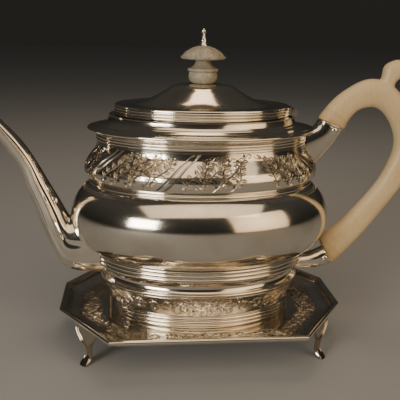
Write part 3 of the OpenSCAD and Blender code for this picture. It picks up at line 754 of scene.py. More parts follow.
@dataclass(frozen=True)
class StudioPaper(Finish):
    """Matt background paper, a pale grey with a faint tooth whose hollows are painted darker, a painted
    shade.
    """

    colour: str = "#A0A4A8"
    # Flecks of its tooth to the metre; real tooth is far finer and is drawn coarse enough to show
    flecks_per_metre: float = 90.0
    # How bright the hollows of its tooth are beside its ground: the paper is flat, so this darker colour is a
    # painted shade in the hollows
    hollow: float = 0.82

    def dress(self, tree: bpy.types.NodeTree, shader: bpy.types.Node) -> None:
        """Sets a matt ground with the slightest mottle, whose darker flecks are a painted shade of the
        tooth's hollows.

        Args:
            tree: The material's node tree.
            shader: The shader that its nodes feed.
        """
        where = add(tree, "ShaderNodeTexCoord").outputs["Object"]
        tooth = add(tree, "ShaderNodeTexNoise", values={"Scale": self.flecks_per_metre, "Detail": 3.0},
                    links={"Vector": where})
        shade = add(tree, "ShaderNodeMapRange", values={"To Min": 0.0, "To Max": 0.12},
                    links={"Value": tooth.outputs["Fac"]})
        # The darker colour paints the shade of the tooth's hollows into the flecks
        dark = tuple(c * self.hollow for c in linear(self.colour)[:3]) + (1.0,)
        colour = add(tree, "ShaderNodeMix", {"data_type": "RGBA"}, values={6: linear(self.colour), 7: dark},
                     links={0: shade.outputs[0]})
        tree.links.new(colour.outputs[2], shader.inputs["Base Color"])
        shader.inputs["Roughness"].default_value = 0.85


POLISHED = Silver("polished_sterling_silver", "polished_silver")
WIRE = Silver("drawn_silver_wire", "polished_silver", roughness=0.1, ripple_depth_mm=0.004)
GROUND = Silver("engraved_silver_ground", "engraved_silver", roughness=0.1, film="#A8957A", film_share=0.4)
# The graver's cuts keep tarnish that polishing never reaches, so they read as fine dark strokes
GRAVEN = Silver("graven_silver_cuts", "engraved_silver", metal="#B9AF9E", film="#6F6352", roughness=0.16,
                ripple_depth_mm=0.0, film_share=0.6)
# Cast feet are never polished to the bottom of their panels and stay greyer
CAST = Silver("cast_silver_feet", "polished_silver", metal="#BDB4A4", film="#665B4C", roughness=0.13,
              film_share=0.7)
# The inside is left from the stake and the pumice stone, dull and a little darker
SATIN = Silver("satin_silver_inside", "plain_silver", metal="#DDD6C8", roughness=0.3, film="#8F7D62",
               film_share=0.55)
IVORY = Ivory("rubbed_old_ivory", "ivory")
HORN = TurnedHorn("turned_bleached_horn", "turned_horn")
PAPER = StudioPaper("matt_background_paper", "background_paper")


# ---------------------------------------------------------------- sub-assemblies


def low_mm(node: str) -> Vector:
    """Returns the lowest corner of a CAD node in millimetres."""
    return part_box(node)[0] / MM


def high_mm(node: str) -> Vector:
    """Returns the highest corner of a CAD node in millimetres."""
    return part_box(node)[1] / MM


def frieze_face(steps: int) -> np.ndarray:
    """Returns the frieze's outer face: a full swell under a hollow neck.

    Args:
        steps: How many spans each gap between two of its points gets.
    """
    low, high = low_mm("frieze_band"), high_mm("frieze_band")
    swell, neck, z = high.x, high.x - NECK_STEP, low.z
    return smooth_run([(high_mm("waist_wire").x - 1.1, z), (swell - 0.9, z + 3), (swell, z + 6.6),
                       (swell - 0.8, z + 10), (swell - 2.9, z + 13.4), (neck + 3, z + 16.6),
                       (neck + 1.1, z + 19.8), (neck + 0.3, high.z)], steps)


def hollow_face(steps: int) -> np.ndarray:
    """Returns the outer face of the hollow neck between the foot and the girdle.

    Args:
        steps: How many spans each gap between two of its points gets.
    """
    z, top = high_mm("foot_band").z, high_mm("foot_neck").z
    flange, girdle = high_mm("foot_band").x, high_mm("girdle_wire").x
    return smooth_run([(flange - 1.6, z), (flange - 3, z + 1.2), (flange - 3.7, z + (top - z) * 0.45),
                       (girdle - 4.9, top - 1.2), (girdle - 3.2, top)], steps)


def bulge_middle() -> float:
    """Returns the height of the bowl's fullest line."""
    seam = high_mm("girdle_wire").x - GIRDLE_STEP
    return low_mm("bowl").z + math.sqrt(BULGE_LOW_R ** 2 - (seam - high_mm("bowl").x + BULGE_LOW_R) ** 2)


def drawn_wire(name: str, node: str, plan: OvalPlan, depth: float, count: int,
               body: Body) -> bpy.types.Object:
    """Bends a reeded wire round the plan in place of a CAD wire.

    Args:
        name: The piece's name.
        node: The CAD wire.
        plan: The oval that the wire follows.
        depth: How deep the wire is, from its flat back to the crowns of its reeds.
        count: Number of reeds.
        body: The body that it moves with.

    Returns:
        The new piece.
    """
    low, high = low_mm(node), high_mm(node)
    reach = max(high.x, -low.x)
    return make_piece(name, plan.turn(reeds(reach, reach - depth, low.z, high.z, count)), WIRE, body, [node])


@dataclass
class Stand:
    """The octagonal tray on four panel feet that the pot stands on."""

    half_length: float
    half_width: float
    rim_top: float
    plate_top: float
    # Lengths of the long sides and of the ends between the cut corners
    front_edge: float = 110.0
    end_edge: float = 41.0
    gauge: float = 1.4
    # Width of the sloping wall, and of the wire on its rim
    slope: float = 10.5
    wire: float = 2.6
    # Half-widths of a foot at its top and over its toe, its thickness, and the width of its raised edges
    knee: float = 10.5
    ankle: float = 2.5
    foot_gauge: float = 2.0
    foot_edge: float = 0.95
    # Gap between the wall and the plate's engraved border, and the border's depth
    border_gap: float = 1.0
    border_depth: float = 11.5
    # Half-length and height of the leaf scroll at each end of the pot's foot, and its place
    spray_reach: float = 27.0
    spray_height: float = 7.5
    spray_at: float = 64.0

    @classmethod
    def from_frame(cls) -> "Stand":
        """Reads the stand's outer sizes from the frame."""
        top = high_mm("stand_rim_wire")
        return cls(half_length=top.x, half_width=top.y, rim_top=top.z, plate_top=low_mm("foot_rim_wire").z)

    def corner_cut(self) -> tuple[np.ndarray, np.ndarray]:
        """Returns the middle of a corner cut and its outward direction."""
        run = np.array([self.half_length - self.front_edge / 2, self.half_width - self.end_edge / 2])
        normal = run[::-1] / np.linalg.norm(run)
        middle = np.array([(self.half_length + self.front_edge / 2) / 2,
                           (self.half_width + self.end_edge / 2) / 2])
        return middle, normal

    def octagon(self, inset: float, z: float, per_side: int = 12) -> np.ndarray:
        """Returns the stand's outline at one height, drawn in from the rim.

        Args:
            inset: How far in from the rim's outer edge.
            z: Height of the outline.
            per_side: Points on each of the eight sides.
        """
        middle, normal = self.corner_cut()
        a, b = self.half_length - inset, self.half_width - inset
        d = float(middle @ normal) - inset
        fx, ey = (d - normal[1] * b) / normal[0], (d - normal[0] * a) / normal[1]
        corners = [(a, ey), (fx, b), (-fx, b), (-a, ey), (-a, -ey), (-fx, -b), (fx, -b), (a, -ey)]
        points = []
        for i, corner in enumerate(corners):
            after = np.array(corners[(i + 1) % 8])
            points += [np.array(corner) + (after - corner) * s / per_side for s in range(per_side)]
        return np.array([[p[0], p[1], z] for p in points])

    def border_ring(self, inset: float) -> np.ndarray:
        """Returns the corners of a line round the plate, drawn in from the border's outer edge."""
        return self.octagon(self.slope + self.border_gap + inset, 0, 1)

    def border_sides(self) -> np.ndarray:
        """Returns the lengths of the eight sides of the border's middle line."""
        ring = self.border_ring(self.border_depth / 2)
        return np.linalg.norm(np.roll(ring, -1, 0) - ring, axis=1)

    def on_border(self, uv: np.ndarray, lift: np.ndarray) -> np.ndarray:
        """Places a flat drawing on the plate's border, mitred at the corners.

        Args:
            uv: Points [distance round, distance in from the border's outer edge].
            lift: Height of each point over the plate.
        """
        outer, inner, sides = self.border_ring(0), self.border_ring(1), self.border_sides()
        ends = np.concatenate([[0], np.cumsum(sides)])
        u = np.mod(uv[:, 0], ends[-1])
        side = np.clip(np.searchsorted(ends, u, side="right") - 1, 0, 7)
        share = ((u - ends[side]) / sides[side])[:, None]
        corner = outer[None] + (inner - outer)[None] * np.clip(uv[:, 1], 0, self.border_depth)[:, None, None]
        rows = np.arange(len(u))
        points = corner[rows, side] * (1 - share) + corner[rows, (side + 1) % 8] * share
        points[:, 2] = self.plate_top + lift
        return points

    def tray_outline(self) -> Profile:
        """Returns the tray's section as [inset, height], from under the plate round the rim to its top."""
        slope, plate, rim, wire, gauge = self.slope, self.plate_top, self.rim_top, self.wire, self.gauge
        rise = rim - plate
        upper = curve([(wire + 0.9, rim - 0.7), (slope * 0.42, plate + rise * 0.4),
                       (slope * 0.62, plate + rise * 0.14), (slope, plate)], 5)
        under = curve([(slope + gauge, plate - gauge), (slope * 0.62 + gauge, plate + rise * 0.14 - gauge),
                       (slope * 0.42 + gauge, plate + rise * 0.4 - gauge * 0.8),
                       (wire + 0.5, rim - wire - 0.1)], 5)
        return under + [(wire + 0.1, rim - wire), (wire + 0.1, rim - 0.5)] + upper

    def foot_rows(self) -> np.ndarray:
        """Returns the foot's rows: height, half-width, distance out from the rim, thickness."""
        seat, knee = -self.wire * 0.95, self.rim_top - self.wire - 0.1
        g, w, a = self.foot_gauge, self.knee, self.ankle
        return smooth_run([(knee, w, seat, g), (knee - 3, w * 0.97, seat + 0.3, g),
                           (knee - 6.2, w * 0.78, seat + 0.5, g), (knee - 10, w * 0.48, seat, g),
                           (8.2, a * 1.3, seat - 1, g), (4.5, a, seat - 1, g + 0.2),
                           (1.8, a * 1.25, seat + 1.5, g + 0.3), (0, a * 1.3, seat + 3, g + 0.3)], 6)

    def foot(self, side_x: int, side_y: int) -> Skin:
        """Lofts one panel foot: a hollowed face between two raised edges, turned out at the toe.

        Args:
            side_x: -1 at the spout's end of the stand and 1 at the handle's.
            side_y: -1 in front and 1 at the back.
        """
        middle, normal = self.corner_cut()
        along = np.array([-normal[1], normal[0]])
        # A raised edge's section: share of its width in from the foot's side, share of its height
        ridge = [(0, 0), (0.12, 0.75), (0.4, 1), (0.7, 0.8), (1, 0.1)]
        rings = []
        for z, half, out, gauge in self.foot_rows():
            # The edges are narrower on a narrow row, and the panel fades out over the toe
            edge, panel = min(self.foot_edge, 0.42 * half), float(np.clip((z - 1) / 3.5, 0, 1))
            side = [(half - edge * s, 0.05 + 0.5 * panel * h) for s, h in ridge]
            side += [((half - edge) * 0.5, 0.05)]
            side = [(x, h + 0.45 * (1 - panel) * (1 - (x / half) ** 2)) for x, h in side]
            face = [(-half, -0.5), (half, -0.5), *side, (0, 0.45 - 0.48 * panel),
                    *((-x, h) for x, h in reversed(side))]
            ring = [middle + along * x + normal * (out + h * gauge) for x, h in face]
            rings.append([[q[0] * side_x, q[1] * side_y, z] for q in ring])
        return loft(np.array(rings))

    def tray(self) -> None:
        """Builds the tray with its engraved border and the leaf scroll at each end of the pot's foot."""
        sheet = np.array([self.octagon(inset, z) for inset, z in self.tray_outline()])
        make_piece("tray", loft(sheet), GROUND, Body.STAND, ["stand_tray"], 24)
        length, depth = float(self.border_sides().sum()), self.border_depth
        cuts = rinceau(0, length, depth / 2, depth * 0.9, count=40, seed=4, ground=60)
        cuts += [border(length, inset, 0.35) for inset in (0.4, 1.2, depth)]
        make_piece("tray_engraving", sliver_skin(cuts, self.on_border), GRAVEN, Body.STAND)
        spray = rinceau(-self.spray_reach, self.spray_reach, 0, self.spray_height, count=6, seed=3, ground=30)
        for side, place in ((-1, "left"), (1, "right")):
            skin = sliver_skin(spray, lambda uv, lift: np.stack(
                [side * (self.spray_at + uv[:, 1]), uv[:, 0], self.plate_top + lift], -1))
            make_piece(f"tray_spray_{place}", skin, GRAVEN, Body.STAND)

    def build(self) -> None:
        """Builds the tray, its rim wire and its feet."""
        self.tray()
        r = self.wire / 2
        section = arc((r, 0), r, 262, 84, 14) + arc((r * 1.35, r * 0.1), r * 0.62, 76, -10, 8)
        wire = [self.octagon(inset, self.rim_top - r + up) for inset, up in [*section, (self.wire, -r * 0.9)]]
        make_piece("rim_wire", loft(np.array(wire), closed=True), WIRE, Body.STAND, ["stand_rim_wire"], 24)
        for y, depth in ((-1, "front"), (1, "back")):
            for x, side in ((-1, "left"), (1, "right")):
                make_piece(f"panel_foot_{depth}_{side}", self.foot(x, y), CAST, Body.STAND,
                           [f"stand_foot_{depth}_{side}"], 50)


@dataclass
class PotBody:
    """The raised oval pieces of the pot, from the foot wire to the mouth."""

    plan: OvalPlan
    wall: float = 1.1
    foot_wire_depth: float = 4.0
    girdle_wire_depth: float = 4.3
    waist_wire_depth: float = 2.1
    strip_gauge: float = 2.2
    # Half-length of the upright collar that the shoulder ends in
    collar: float = 55.2
    # The strainer's holes: distance between two, their radius, and the height of the row of five
    hole_pitch: float = 4.6
    hole_r: float = 1.3
    hole_middle: float = 61.9
    # The frieze's ribbons: where their drawing is centred, and their distances round from there
    frieze_axis: float = 26.0
    ribbon_posts: tuple[float, ...] = (43.0, 91.0, 136.0)
    # The shoulder's chased lines: how far down the slope each lies, their width and their depth
    groove_places: tuple[float, ...] = (2.0, 3.4, 9.6)
    groove_width: float = 0.28
    groove_depth: float = 0.22

    def foot(self) -> None:
        """Builds the foot wire, the engraved foot band and the hollow neck over it."""
        plan, body = self.plan, Body.TEAPOT
        drawn_wire("foot_reeds", "foot_rim_wire", plan, self.foot_wire_depth, 3, body)
        wire, band = high_mm("foot_rim_wire"), high_mm("foot_band")
        reach, top, flange, z = wire.x, wire.z, band.x, band.z
        skirt = curve([(reach - 1.3, top), (reach - 0.6, top + 1.5), (reach + 0.4, top + 5),
                       (reach + 1.9, top + 9), (flange - 1, z - 2.2)], 7)
        face = skirt + arc((flange - 1, z - 1), 1, -90, 90, 10)
        make_piece("foot_skirt", plan.turn(thick(face, self.wall)), GROUND, body, ["foot_band"])
        # The engraving starts a little over the wire and ends under the flange
        band_map = BandMap(plan, skirt[4:])
        run, tall = band_map.length, band_map.height
        cuts = rinceau(0, run, tall / 2, tall * 0.8, count=36, seed=7, ground=60)
        cuts += [border(run, up) for up in (0.5, tall - 0.6)]
        make_piece("foot_engraving", sliver_skin(cuts, band_map.place), GRAVEN, body)
        make_piece("foot_cavetto", plan.turn(thick(hollow_face(8), self.wall)), POLISHED, body, ["foot_neck"])
        drawn_wire("girdle_reeds", "girdle_wire", plan, self.girdle_wire_depth, 3, body)

    def bulge(self, inset: float) -> Profile:
        """Returns the bowl's face: two arcs that meet at the fullest line.

        Args:
            inset: How far it is drawn in.
        """
        reach, middle = high_mm("bowl").x, bulge_middle()
        seam = high_mm("girdle_wire").x - GIRDLE_STEP
        low = -math.degrees(math.acos((seam - reach + BULGE_LOW_R) / BULGE_LOW_R))
        high = math.degrees(math.asin((high_mm("bowl").z - middle) / BULGE_HIGH_R))
        return (arc((reach - BULGE_LOW_R, middle), BULGE_LOW_R - inset, low, 0, 26)
                + arc((reach - BULGE_HIGH_R, middle), BULGE_HIGH_R - inset, high / 24, high, 24))

    def bowl(self) -> None:
        """Builds the bulged bowl with its pierced strainer, and the reed over it."""
        outer, inner = self.bulge(0), self.bulge(self.wall)
        outline = [*outer, (inner[-1][0], high_mm("bowl").z), *reversed(inner),
                   (inner[0][0], low_mm("bowl").z)]
        piece = make_piece("bulged_bowl", self.plan.turn(outline), POLISHED, Body.TEAPOT, ["bowl"])
        self.pierce(piece)
        # Two wriggled lines run round the upper part of the bulge
        band = BandMap(self.plan, outer[36:])
        cuts = [wriggle(band.length, band.height - under, 1.7, 0.9) for under in (3.2, 4.6)]
        make_piece("bowl_wriggle_line", sliver_skin(cuts, band.place), GRAVEN, Body.TEAPOT)
        drawn_wire("waist_reed", "waist_wire", self.plan, self.waist_wire_depth, 1, Body.TEAPOT)

    def pierce(self, bowl: bpy.types.Object) -> None:
        """Pierces the strainer's rows of holes through the bowl behind the spout.

        Args:
            bowl: The bowl, which is changed.
        """
        # Rows of four, five, four and three; they lie closer than holes do, so that neighbours are
        # all a pitch apart
        row_pitch, length, radius = 0.87, 30 * MM, self.hole_r * MM
        drills = bmesh.new()
        for row in range(-1, 3):
            for k in range(5 - abs(row)):
                at = Vector((-high_mm("bowl").x + 15, (k - (4 - abs(row)) / 2) * self.hole_pitch,
                             self.hole_middle + row * self.hole_pitch * row_pitch))
                place = Matrix.Translation(at * MM) @ Matrix.Rotation(math.pi / 2, 4, "Y")
                bmesh.ops.create_cone(drills, cap_ends=True, segments=20, radius1=radius, radius2=radius,
                                      depth=length, matrix=place)
        cut_away(bowl, "strainer_drills", drills)

    def upper(self) -> None:
        """Builds the engraved frieze, the moulded rim, the shoulder and the mouth's strip."""
        plan, body, wall = self.plan, Body.TEAPOT, self.wall
        neck, top = high_mm("frieze_band").x - NECK_STEP, high_mm("frieze_band").z
        face = frieze_face(7)
        make_piece("frieze", plan.turn(thick(face, wall)), GROUND, body, ["frieze_band"])
        self.engrave_frieze(face)
        rim = high_mm("rim_moulding")
        bead = arc((neck + 0.5, top + 0.8), 0.7, -60, 60, 10)
        hollow = curve([(neck + 1.3, top + 2), (neck + 3.2, top + 3.4), (rim.x - 0.9, rim.z - 1.45)], 7)
        edge = arc((rim.x - 0.75, rim.z - 0.75), 0.75, -70, 78, 10)
        section = [(neck + 0.8, top), *bead, *hollow, *edge, (rim.x - 1.2, rim.z), (neck - 0.9, rim.z),
                   (neck - 0.9, top)]
        make_piece("rim_mould", plan.turn(section), WIRE, body, ["rim_moulding"])
        make_piece("neck_reed", plan.turn(reeds(neck + 1.2, neck - 0.4, top - 1.5, top - 0.3, 1)), WIRE, body)
        ledge, mouth = high_mm("shoulder").z, high_mm("mouth_bezel_seat").x - self.strip_gauge
        collar = self.collar
        slope = self.chased_lines(smooth_run([(rim.x - 1.4, rim.z), (rim.x - 4.6, rim.z + 0.7),
                                              (collar + 4.4, rim.z + 1.5), (collar + 1.4, ledge - 4),
                                              (collar + 0.2, ledge - 1.6), (collar, ledge)], 30))
        under = [(mouth, ledge), (mouth, ledge - wall), (collar - 1.2, ledge - wall),
                 (collar - 0.6, ledge - 4.6), (collar + 2.2, rim.z + 0.9), (collar + 5.2, rim.z)]
        make_piece("shoulder_sheet", plan.turn([*slope, *under]), POLISHED, body, ["shoulder"], 40)
        seat, back = low_mm("mouth_bezel_seat").z, mouth + self.strip_gauge
        strip = [(mouth, seat), (back, seat), (back, ledge - wall), (mouth, ledge - wall)]
        make_piece("mouth_strip", plan.turn(strip), SATIN, body, ["mouth_bezel_seat"])

    def engrave_frieze(self, face: np.ndarray) -> None:
        """Engraves the frieze with slanting leaf sprays between plain ribbons that lean to its middle.

        Args:
            face: The frieze's outer face [half-length, height].
        """
        band = BandMap(self.plan, face)
        low, high, axis, posts = 3.4, band.height - 3.6, self.frieze_axis, self.ribbon_posts
        cuts = [border(band.length, up, 0.45) for up in (low - 0.9, high + 0.9)]
        for side in (-1, 1):
            for post in posts:
                cuts += ribbon(axis + side * post, low, high, -side * 19, 4.6)
        # Each gap between two ribbons: where it starts, where it ends, and which way its sprays lean
        gaps = []
        for near, far in zip((0.0, *posts), posts):
            gaps += [(-far, -near, 1), (near, far, -1)]
        gaps.append((posts[-1], band.length - posts[-1], 1))
        for number, (start, end, side) in enumerate(gaps):
            cuts += sprays(axis + start + 4, axis + end - 4, low, high, side * 11, 1.7, number)
        # A fan of leaves fills the first gap on the right, where the sprays part
        for turn in range(7):
            cuts += leaf(np.array([axis + 26.0, (low + high) / 2 - 1]), -0.6 + turn * 0.62, 6.8, 0.7, 2.0)
        make_piece("frieze_engraving", sliver_skin(cuts, band.place), GRAVEN, Body.TEAPOT)

    def chased_lines(self, slope: np.ndarray) -> np.ndarray:
        """Sinks the shoulder's fine concentric lines into its slope.

        Args:
            slope: The shoulder's face [half-length, height].

        Returns:
            The same face with three shallow grooves.
        """
        along = run_length(slope)
        sunk = sum(np.exp(-((along - at) / self.groove_width) ** 2) for at in self.groove_places)
        return slope - np.stack([0 * sunk, sunk * self.groove_depth], -1)

    def build(self) -> None:
        """Builds the whole body."""
        self.foot()
        self.bowl()
        self.upper()


@dataclass
class Fittings:
    """The spout, the handle with its sockets, and the pins."""

    plan: OvalPlan
    spout_wall: float = 0.9
    socket_wall: float = 1.1
    # How far the spout's ridges stand proud outside, and show inside, as a share of its section
    ridge_rise: float = 0.075
    ridge_inside: float = 0.02
    # The handle is joined into one block on a grid of this size, then scraped smooth
    handle_grid: float = 0.75

    def __post_init__(self) -> None:
        """Measures the pot's outside, as a fitting meets it, once."""
        low, bowl, girdle = low_mm("bowl").z, high_mm("bowl"), high_mm("girdle_wire")
        middle = bulge_middle()
        z = np.linspace(low + 0.8, bowl.z, 80)
        r = np.where(z < middle, BULGE_LOW_R, BULGE_HIGH_R)
        bulge = np.stack([bowl.x - r + np.sqrt(np.maximum(0, r * r - (z - middle) ** 2)), z], -1)
        neck, rim = high_mm("frieze_band").x - NECK_STEP, high_mm("rim_moulding")
        step = low_mm("girdle_wire").z
        self.line = np.array([*hollow_face(4), (girdle.x, step + 0.1), (girdle.x, low + 0.7), *bulge,
                              *frieze_face(3), (neck + 0.8, rim.z - 5.8), (neck + 1.3, rim.z - 3.8),
                              (rim.x - 0.8, rim.z - 2.4), (rim.x, rim.z)])

    def body_reach(self, z: float) -> float:
        """Returns the half-length of the pot's outside at a height."""
        return float(np.interp(z, self.line[:, 1], self.line[:, 0]))

    def seat(self, side: int, top: float, bottom: float, half_w: float, shape: np.ndarray,
             thin: float) -> np.ndarray:
        """Returns a ring laid on the pot's surface.

        Args:
            side: -1 at the spout and 1 at the handle.
            top: Height of the ring's top.
            bottom: Height of its lowest point.
            half_w: Half its width.
            shape: Points [share along, share across].
            thin: How far the ring is drawn in.
        """
        middle, half = (top + bottom) / 2, (top - bottom) / 2 - thin
        ring = []
        for along, across in shape:
            y, z = across * (half_w - thin), middle + along * half
            reach = self.body_reach(z)
            ring.append([side * reach * math.sqrt(max(0.0, 1 - (y / (self.plan.ratio * reach)) ** 2)), y, z])
        return np.array(ring)

    @staticmethod
    def section(edges: Sequence, half_w: float, shape: np.ndarray, thin: float = 0.0) -> np.ndarray:
        """Returns a ring between two edge points of the long section.

        Args:
            edges: The two edge points [x, z].
            half_w: Half the ring's width.
            shape: Points [share along, share across].
            thin: How far the ring is drawn in.
        """
        a, b = np.array(edges[0], float), np.array(edges[1], float)
        middle, half = (a + b) / 2, (a - b) / 2
        keep = 1 - thin / np.linalg.norm(half)
        flat = middle + half * (shape[:, :1] * keep)
        return np.stack([flat[:, 0], shape[:, 1] * (half_w - thin), flat[:, 1]], -1)

    @staticmethod
    def panelled(row: float, rise: float, heel: float, points: int = 96) -> np.ndarray:
        """Returns the spout's section: a round back and belly with two ridges a side.

        Args:
            row: How far down the spout the section lies, from 0 at the lip to 10 at the root.
            rise: How far the ridges stand proud, as a share.
            heel: How far the lower half is squared off.
            points: Points round the section.
        """
        a = np.linspace(0, 360, points, endpoint=False)
        fold = np.where(a > 180, 360 - a, a)
        meet = np.clip((row - 7.2) / 2.6, 0, 1) ** 1.4
        upper, lower = 82 + 18 * meet, 121 - 17 * meet
        radius = 0.985 - 0.022 * np.exp(-((fold - (upper + lower) / 2) / 16) ** 2)
        for at, sign in ((upper, -1), (lower, 1)):
            radius = radius + rise * np.exp(-((fold - at) / 4.6) ** 2)
            radius = radius - rise * 0.6 * np.exp(-((fold - at - sign * 11) / 5.5) ** 2)
        c, s = radius * np.cos(np.radians(a)), radius * np.sin(np.radians(a))
        power = 1 - 0.45 * heel
        under = c < 0
        c = np.where(under, -np.abs(c) ** power, c)
        s = np.where(under, np.sign(s) * np.abs(s) ** power, s)
        return np.stack([c, s], -1)

    def spout(self) -> None:
        """Lofts the swan-neck spout: a panelled, hollow tube scribed to the bowl."""
        tip, top = low_mm("spout").x, high_mm("spout").z
        # Back edge, belly edge, half-width, share of the ridges' height, how far the belly is squared off
        rows = [((tip + 7, top), (tip, top - 2.8), 3.5, 0.4, 0),
                ((tip + 13, 142.6), (tip + 7.3, 136.8), 4, 1, 0),
                ((-116.6, 134.6), (-123.2, 128.8), 4.3, 1, 0), ((-105.9, 123), (-114.9, 116.9), 4.7, 1, 0),
                ((-98.3, 111.2), (-108.3, 107.2), 5.2, 1, 0), ((-92.6, 100.6), (-105.1, 94.6), 6.3, 1, 0),
                ((-87, 90.5), (-100.6, 83.1), 7.8, 1, 0), ((-83, 83), (-96.2, 70.2), 9.6, 1, 0),
                ((-81, 79.2), (-89.8, 55.4), 11.3, 0.9, 0.3), ((-80, 77.5), (-80.6, 44.6), 12.6, 0.6, 0.8)]

        def rings(thin: float, rise: float) -> np.ndarray:
            """Returns the tube's rings from the lip to the seat, drawn in by a wall."""
            runs = [self.section((back, belly), half_w, self.panelled(i, rise * ridge, heel), thin)
                    for i, (back, belly, half_w, ridge, heel) in enumerate(rows)]
            root = self.panelled(10, 0, 1)
            return smooth_run([*runs, self.seat(-1, 77.8, low_mm("spout").z, 13.4, root, thin)], 9)

        outer, inner = rings(0, self.ridge_rise), rings(self.spout_wall, self.ridge_inside)
        skin = loft(np.concatenate([outer, inner[::-1]]), closed=True)
        make_piece("swan_neck_spout", skin, POLISHED, Body.TEAPOT, ["spout"], 60)

    @staticmethod
    def squared_oval(points: int = 48) -> np.ndarray:
        """Returns the section of the handle and its sockets, a softly squared oval.

        Args:
            points: Points round the section.
        """
        power = 2.4
        a = np.linspace(0, 2 * np.pi, points, endpoint=False)
        c, s = np.cos(a), np.sin(a)
        r = (np.abs(c) ** power + np.abs(s) ** power) ** (-1 / power)
        return np.stack([r * c, r * s], -1)

    def handle(self) -> None:
        """Carves the scroll handle with its thumb spur out of one piece."""
        reach = high_mm("handle").x
        # Each row: outer edge, inner edge, half-width
        rows = [((70.9, 137.5), (87.3, 130.4), 6.3), ((80.5, 149.3), (90.4, 137), 6),
                ((92, 157.6), (95.5, 142.3), 6), ((102, 161.2), (102.9, 144.2), 6.2),
                ((112.2, 159.4), (108.6, 142.8), 6.2), ((121, 152.9), (113.6, 138.4), 6),
                ((reach - 5.7, 140.6), (118, 131.2), 6), ((reach, 124), (120.2, 122.8), 6.2),
                ((reach - 3.9, 107.2), (118.6, 112.6), 6), ((122.2, 88), (110.4, 96), 5.6),
                ((104.6, 64.6), (92.4, 74.6), 5.8), ((94, 52.6), (81.8, 65.8), 6.2),
                ((85.25, 43.3), (76.25, 60.5), 6.5)]
        spur = [((107.6, 156.5), (116.5, 153.5), 4.4), ((109, 163.4), (117, 158.6), 4.8),
                ((110.2, 169.2), (120.2, 161.6), 4.9), ((116.6, 172.6), (123.4, 163.6), 4.4),
                ((123.6, 172), (126.8, 165.2), 3.4), ((128.2, 168.9), (128.6, 167.4), 0.8)]
        shape = self.squared_oval()
        limb, horn = (smooth_run([self.section(row[:2], row[2], shape) for row in part], 9)
                      for part in (rows, spur))
        first, faces = loft(limb)
        second, more = loft(horn)
        faces = faces + [tuple(i + len(first) for i in face) for face in more]
        piece = make_piece("scroll_handle", (np.concatenate([first, second]), faces), IVORY, Body.TEAPOT,
                           ["handle"], 50)
        join = piece.modifiers.new("one_block", "REMESH")
        join.mode, join.voxel_size = "VOXEL", self.handle_grid * MM
        scrape = piece.modifiers.new("scraped", "SMOOTH")
        scrape.factor, scrape.iterations = 0.5, 6
        apply_modifiers(piece)
        piece.data.shade_smooth()
        self.age(piece.data, limb.mean(axis=1))

    @staticmethod
    def age(mesh: bpy.types.Mesh, middle: np.ndarray) -> None:
        """Marks where the ivory is drawn darker: towards its two ends and over its broad front and back
        faces.

        Args:
            mesh: The handle's mesh.
            middle: The middle line of its limb in millimetres.
        """
        points = np.zeros(len(mesh.vertices) * 3)
        mesh.vertices.foreach_get("co", points)
        points = points.reshape(-1, 3) / MM
        gap = np.linalg.norm(points[:, None, :] - middle[None, ::4, :], axis=2)
        near = gap.argmin(axis=1) / (gap.shape[1] - 1)
        ends = np.exp(-(near / 0.05) ** 2) + np.exp(-((1 - near) / 0.05) ** 2)
        side = np.clip((np.abs(points[:, 1]) - 3.5) / 3.5, 0, 1)
        # The age mark darkens the ivory towards both ends and over its broad faces, past 3.5 mm to either
        # side
        mark = mesh.attributes.new("age", "FLOAT", "POINT")
        mark.data.foreach_set("value", (0.42 * ends + 0.16 * side - 0.1).astype(np.float32))

    def socket(self, name: str, mouth: Sequence, half_w: float, belly: Sequence, belly_w: float, top: float,
               bottom: float, seat_w: float) -> None:
        """Lofts a hollow socket from its mouth to its seat on the pot.

        Args:
            name: The CAD node that it replaces.
            mouth: The two edge points of its mouth.
            half_w: Half the mouth's width.
            belly: The two edge points halfway.
            belly_w: Half the width there.
            top: Height of the seat's top.
            bottom: Height of the seat's lowest point.
            seat_w: Half the seat's width.
        """
        shape = self.squared_oval()

        def rings(thin: float) -> np.ndarray:
            """Returns the socket's rings from its mouth to its seat, drawn in by a wall."""
            runs = [self.section(mouth, half_w, shape, thin), self.section(belly, belly_w, shape, thin),
                    self.seat(1, top, bottom, seat_w, shape, thin)]
            return smooth_run(runs, 14)

        outer = rings(0)
        along = np.linspace(0, 1, len(outer))
        middle = outer.mean(axis=1, keepdims=True)
        # A bead stands at the mouth, with a groove behind it
        swell = 0.035 * np.exp(-((along - 0.03) / 0.03) ** 2) - 0.025 * np.exp(-((along - 0.1) / 0.02) ** 2)
        outer = middle + (outer - middle) * (1 + swell[:, None, None])
        skin = loft(np.concatenate([outer, rings(self.socket_wall)[::-1]]), closed=True)
        make_piece(f"{name}_shell", skin, POLISHED, Body.TEAPOT, [name], 60)

    def pin(self, node: str) -> None:
        """Turns a cross pin with two low domed heads.

        Args:
            node: The CAD pin that it replaces.
        """
        low, high = low_mm(node), high_mm(node)
        at, radius, reach = (low + high) / 2, (high.x - low.x) / 2, high.y
        shank, head = radius - 0.7, reach - 0.62
        half = [(0.01, reach + 0.02), (radius * 0.5, reach - 0.03), (radius * 0.85, reach - 0.2),
                (radius, reach - 0.5), (radius, head), (shank, head)]
        outline = half + [(r, -z) for r, z in reversed(half)]
        points, faces = OvalPlan(1.0, 40).turn(outline, closed=False)
        turned = np.stack([points[:, 0] + at.x, -points[:, 2], points[:, 1] + at.z], -1)
        make_piece(f"{node}_rivet", (turned, faces), POLISHED, Body.TEAPOT, [node], 40)

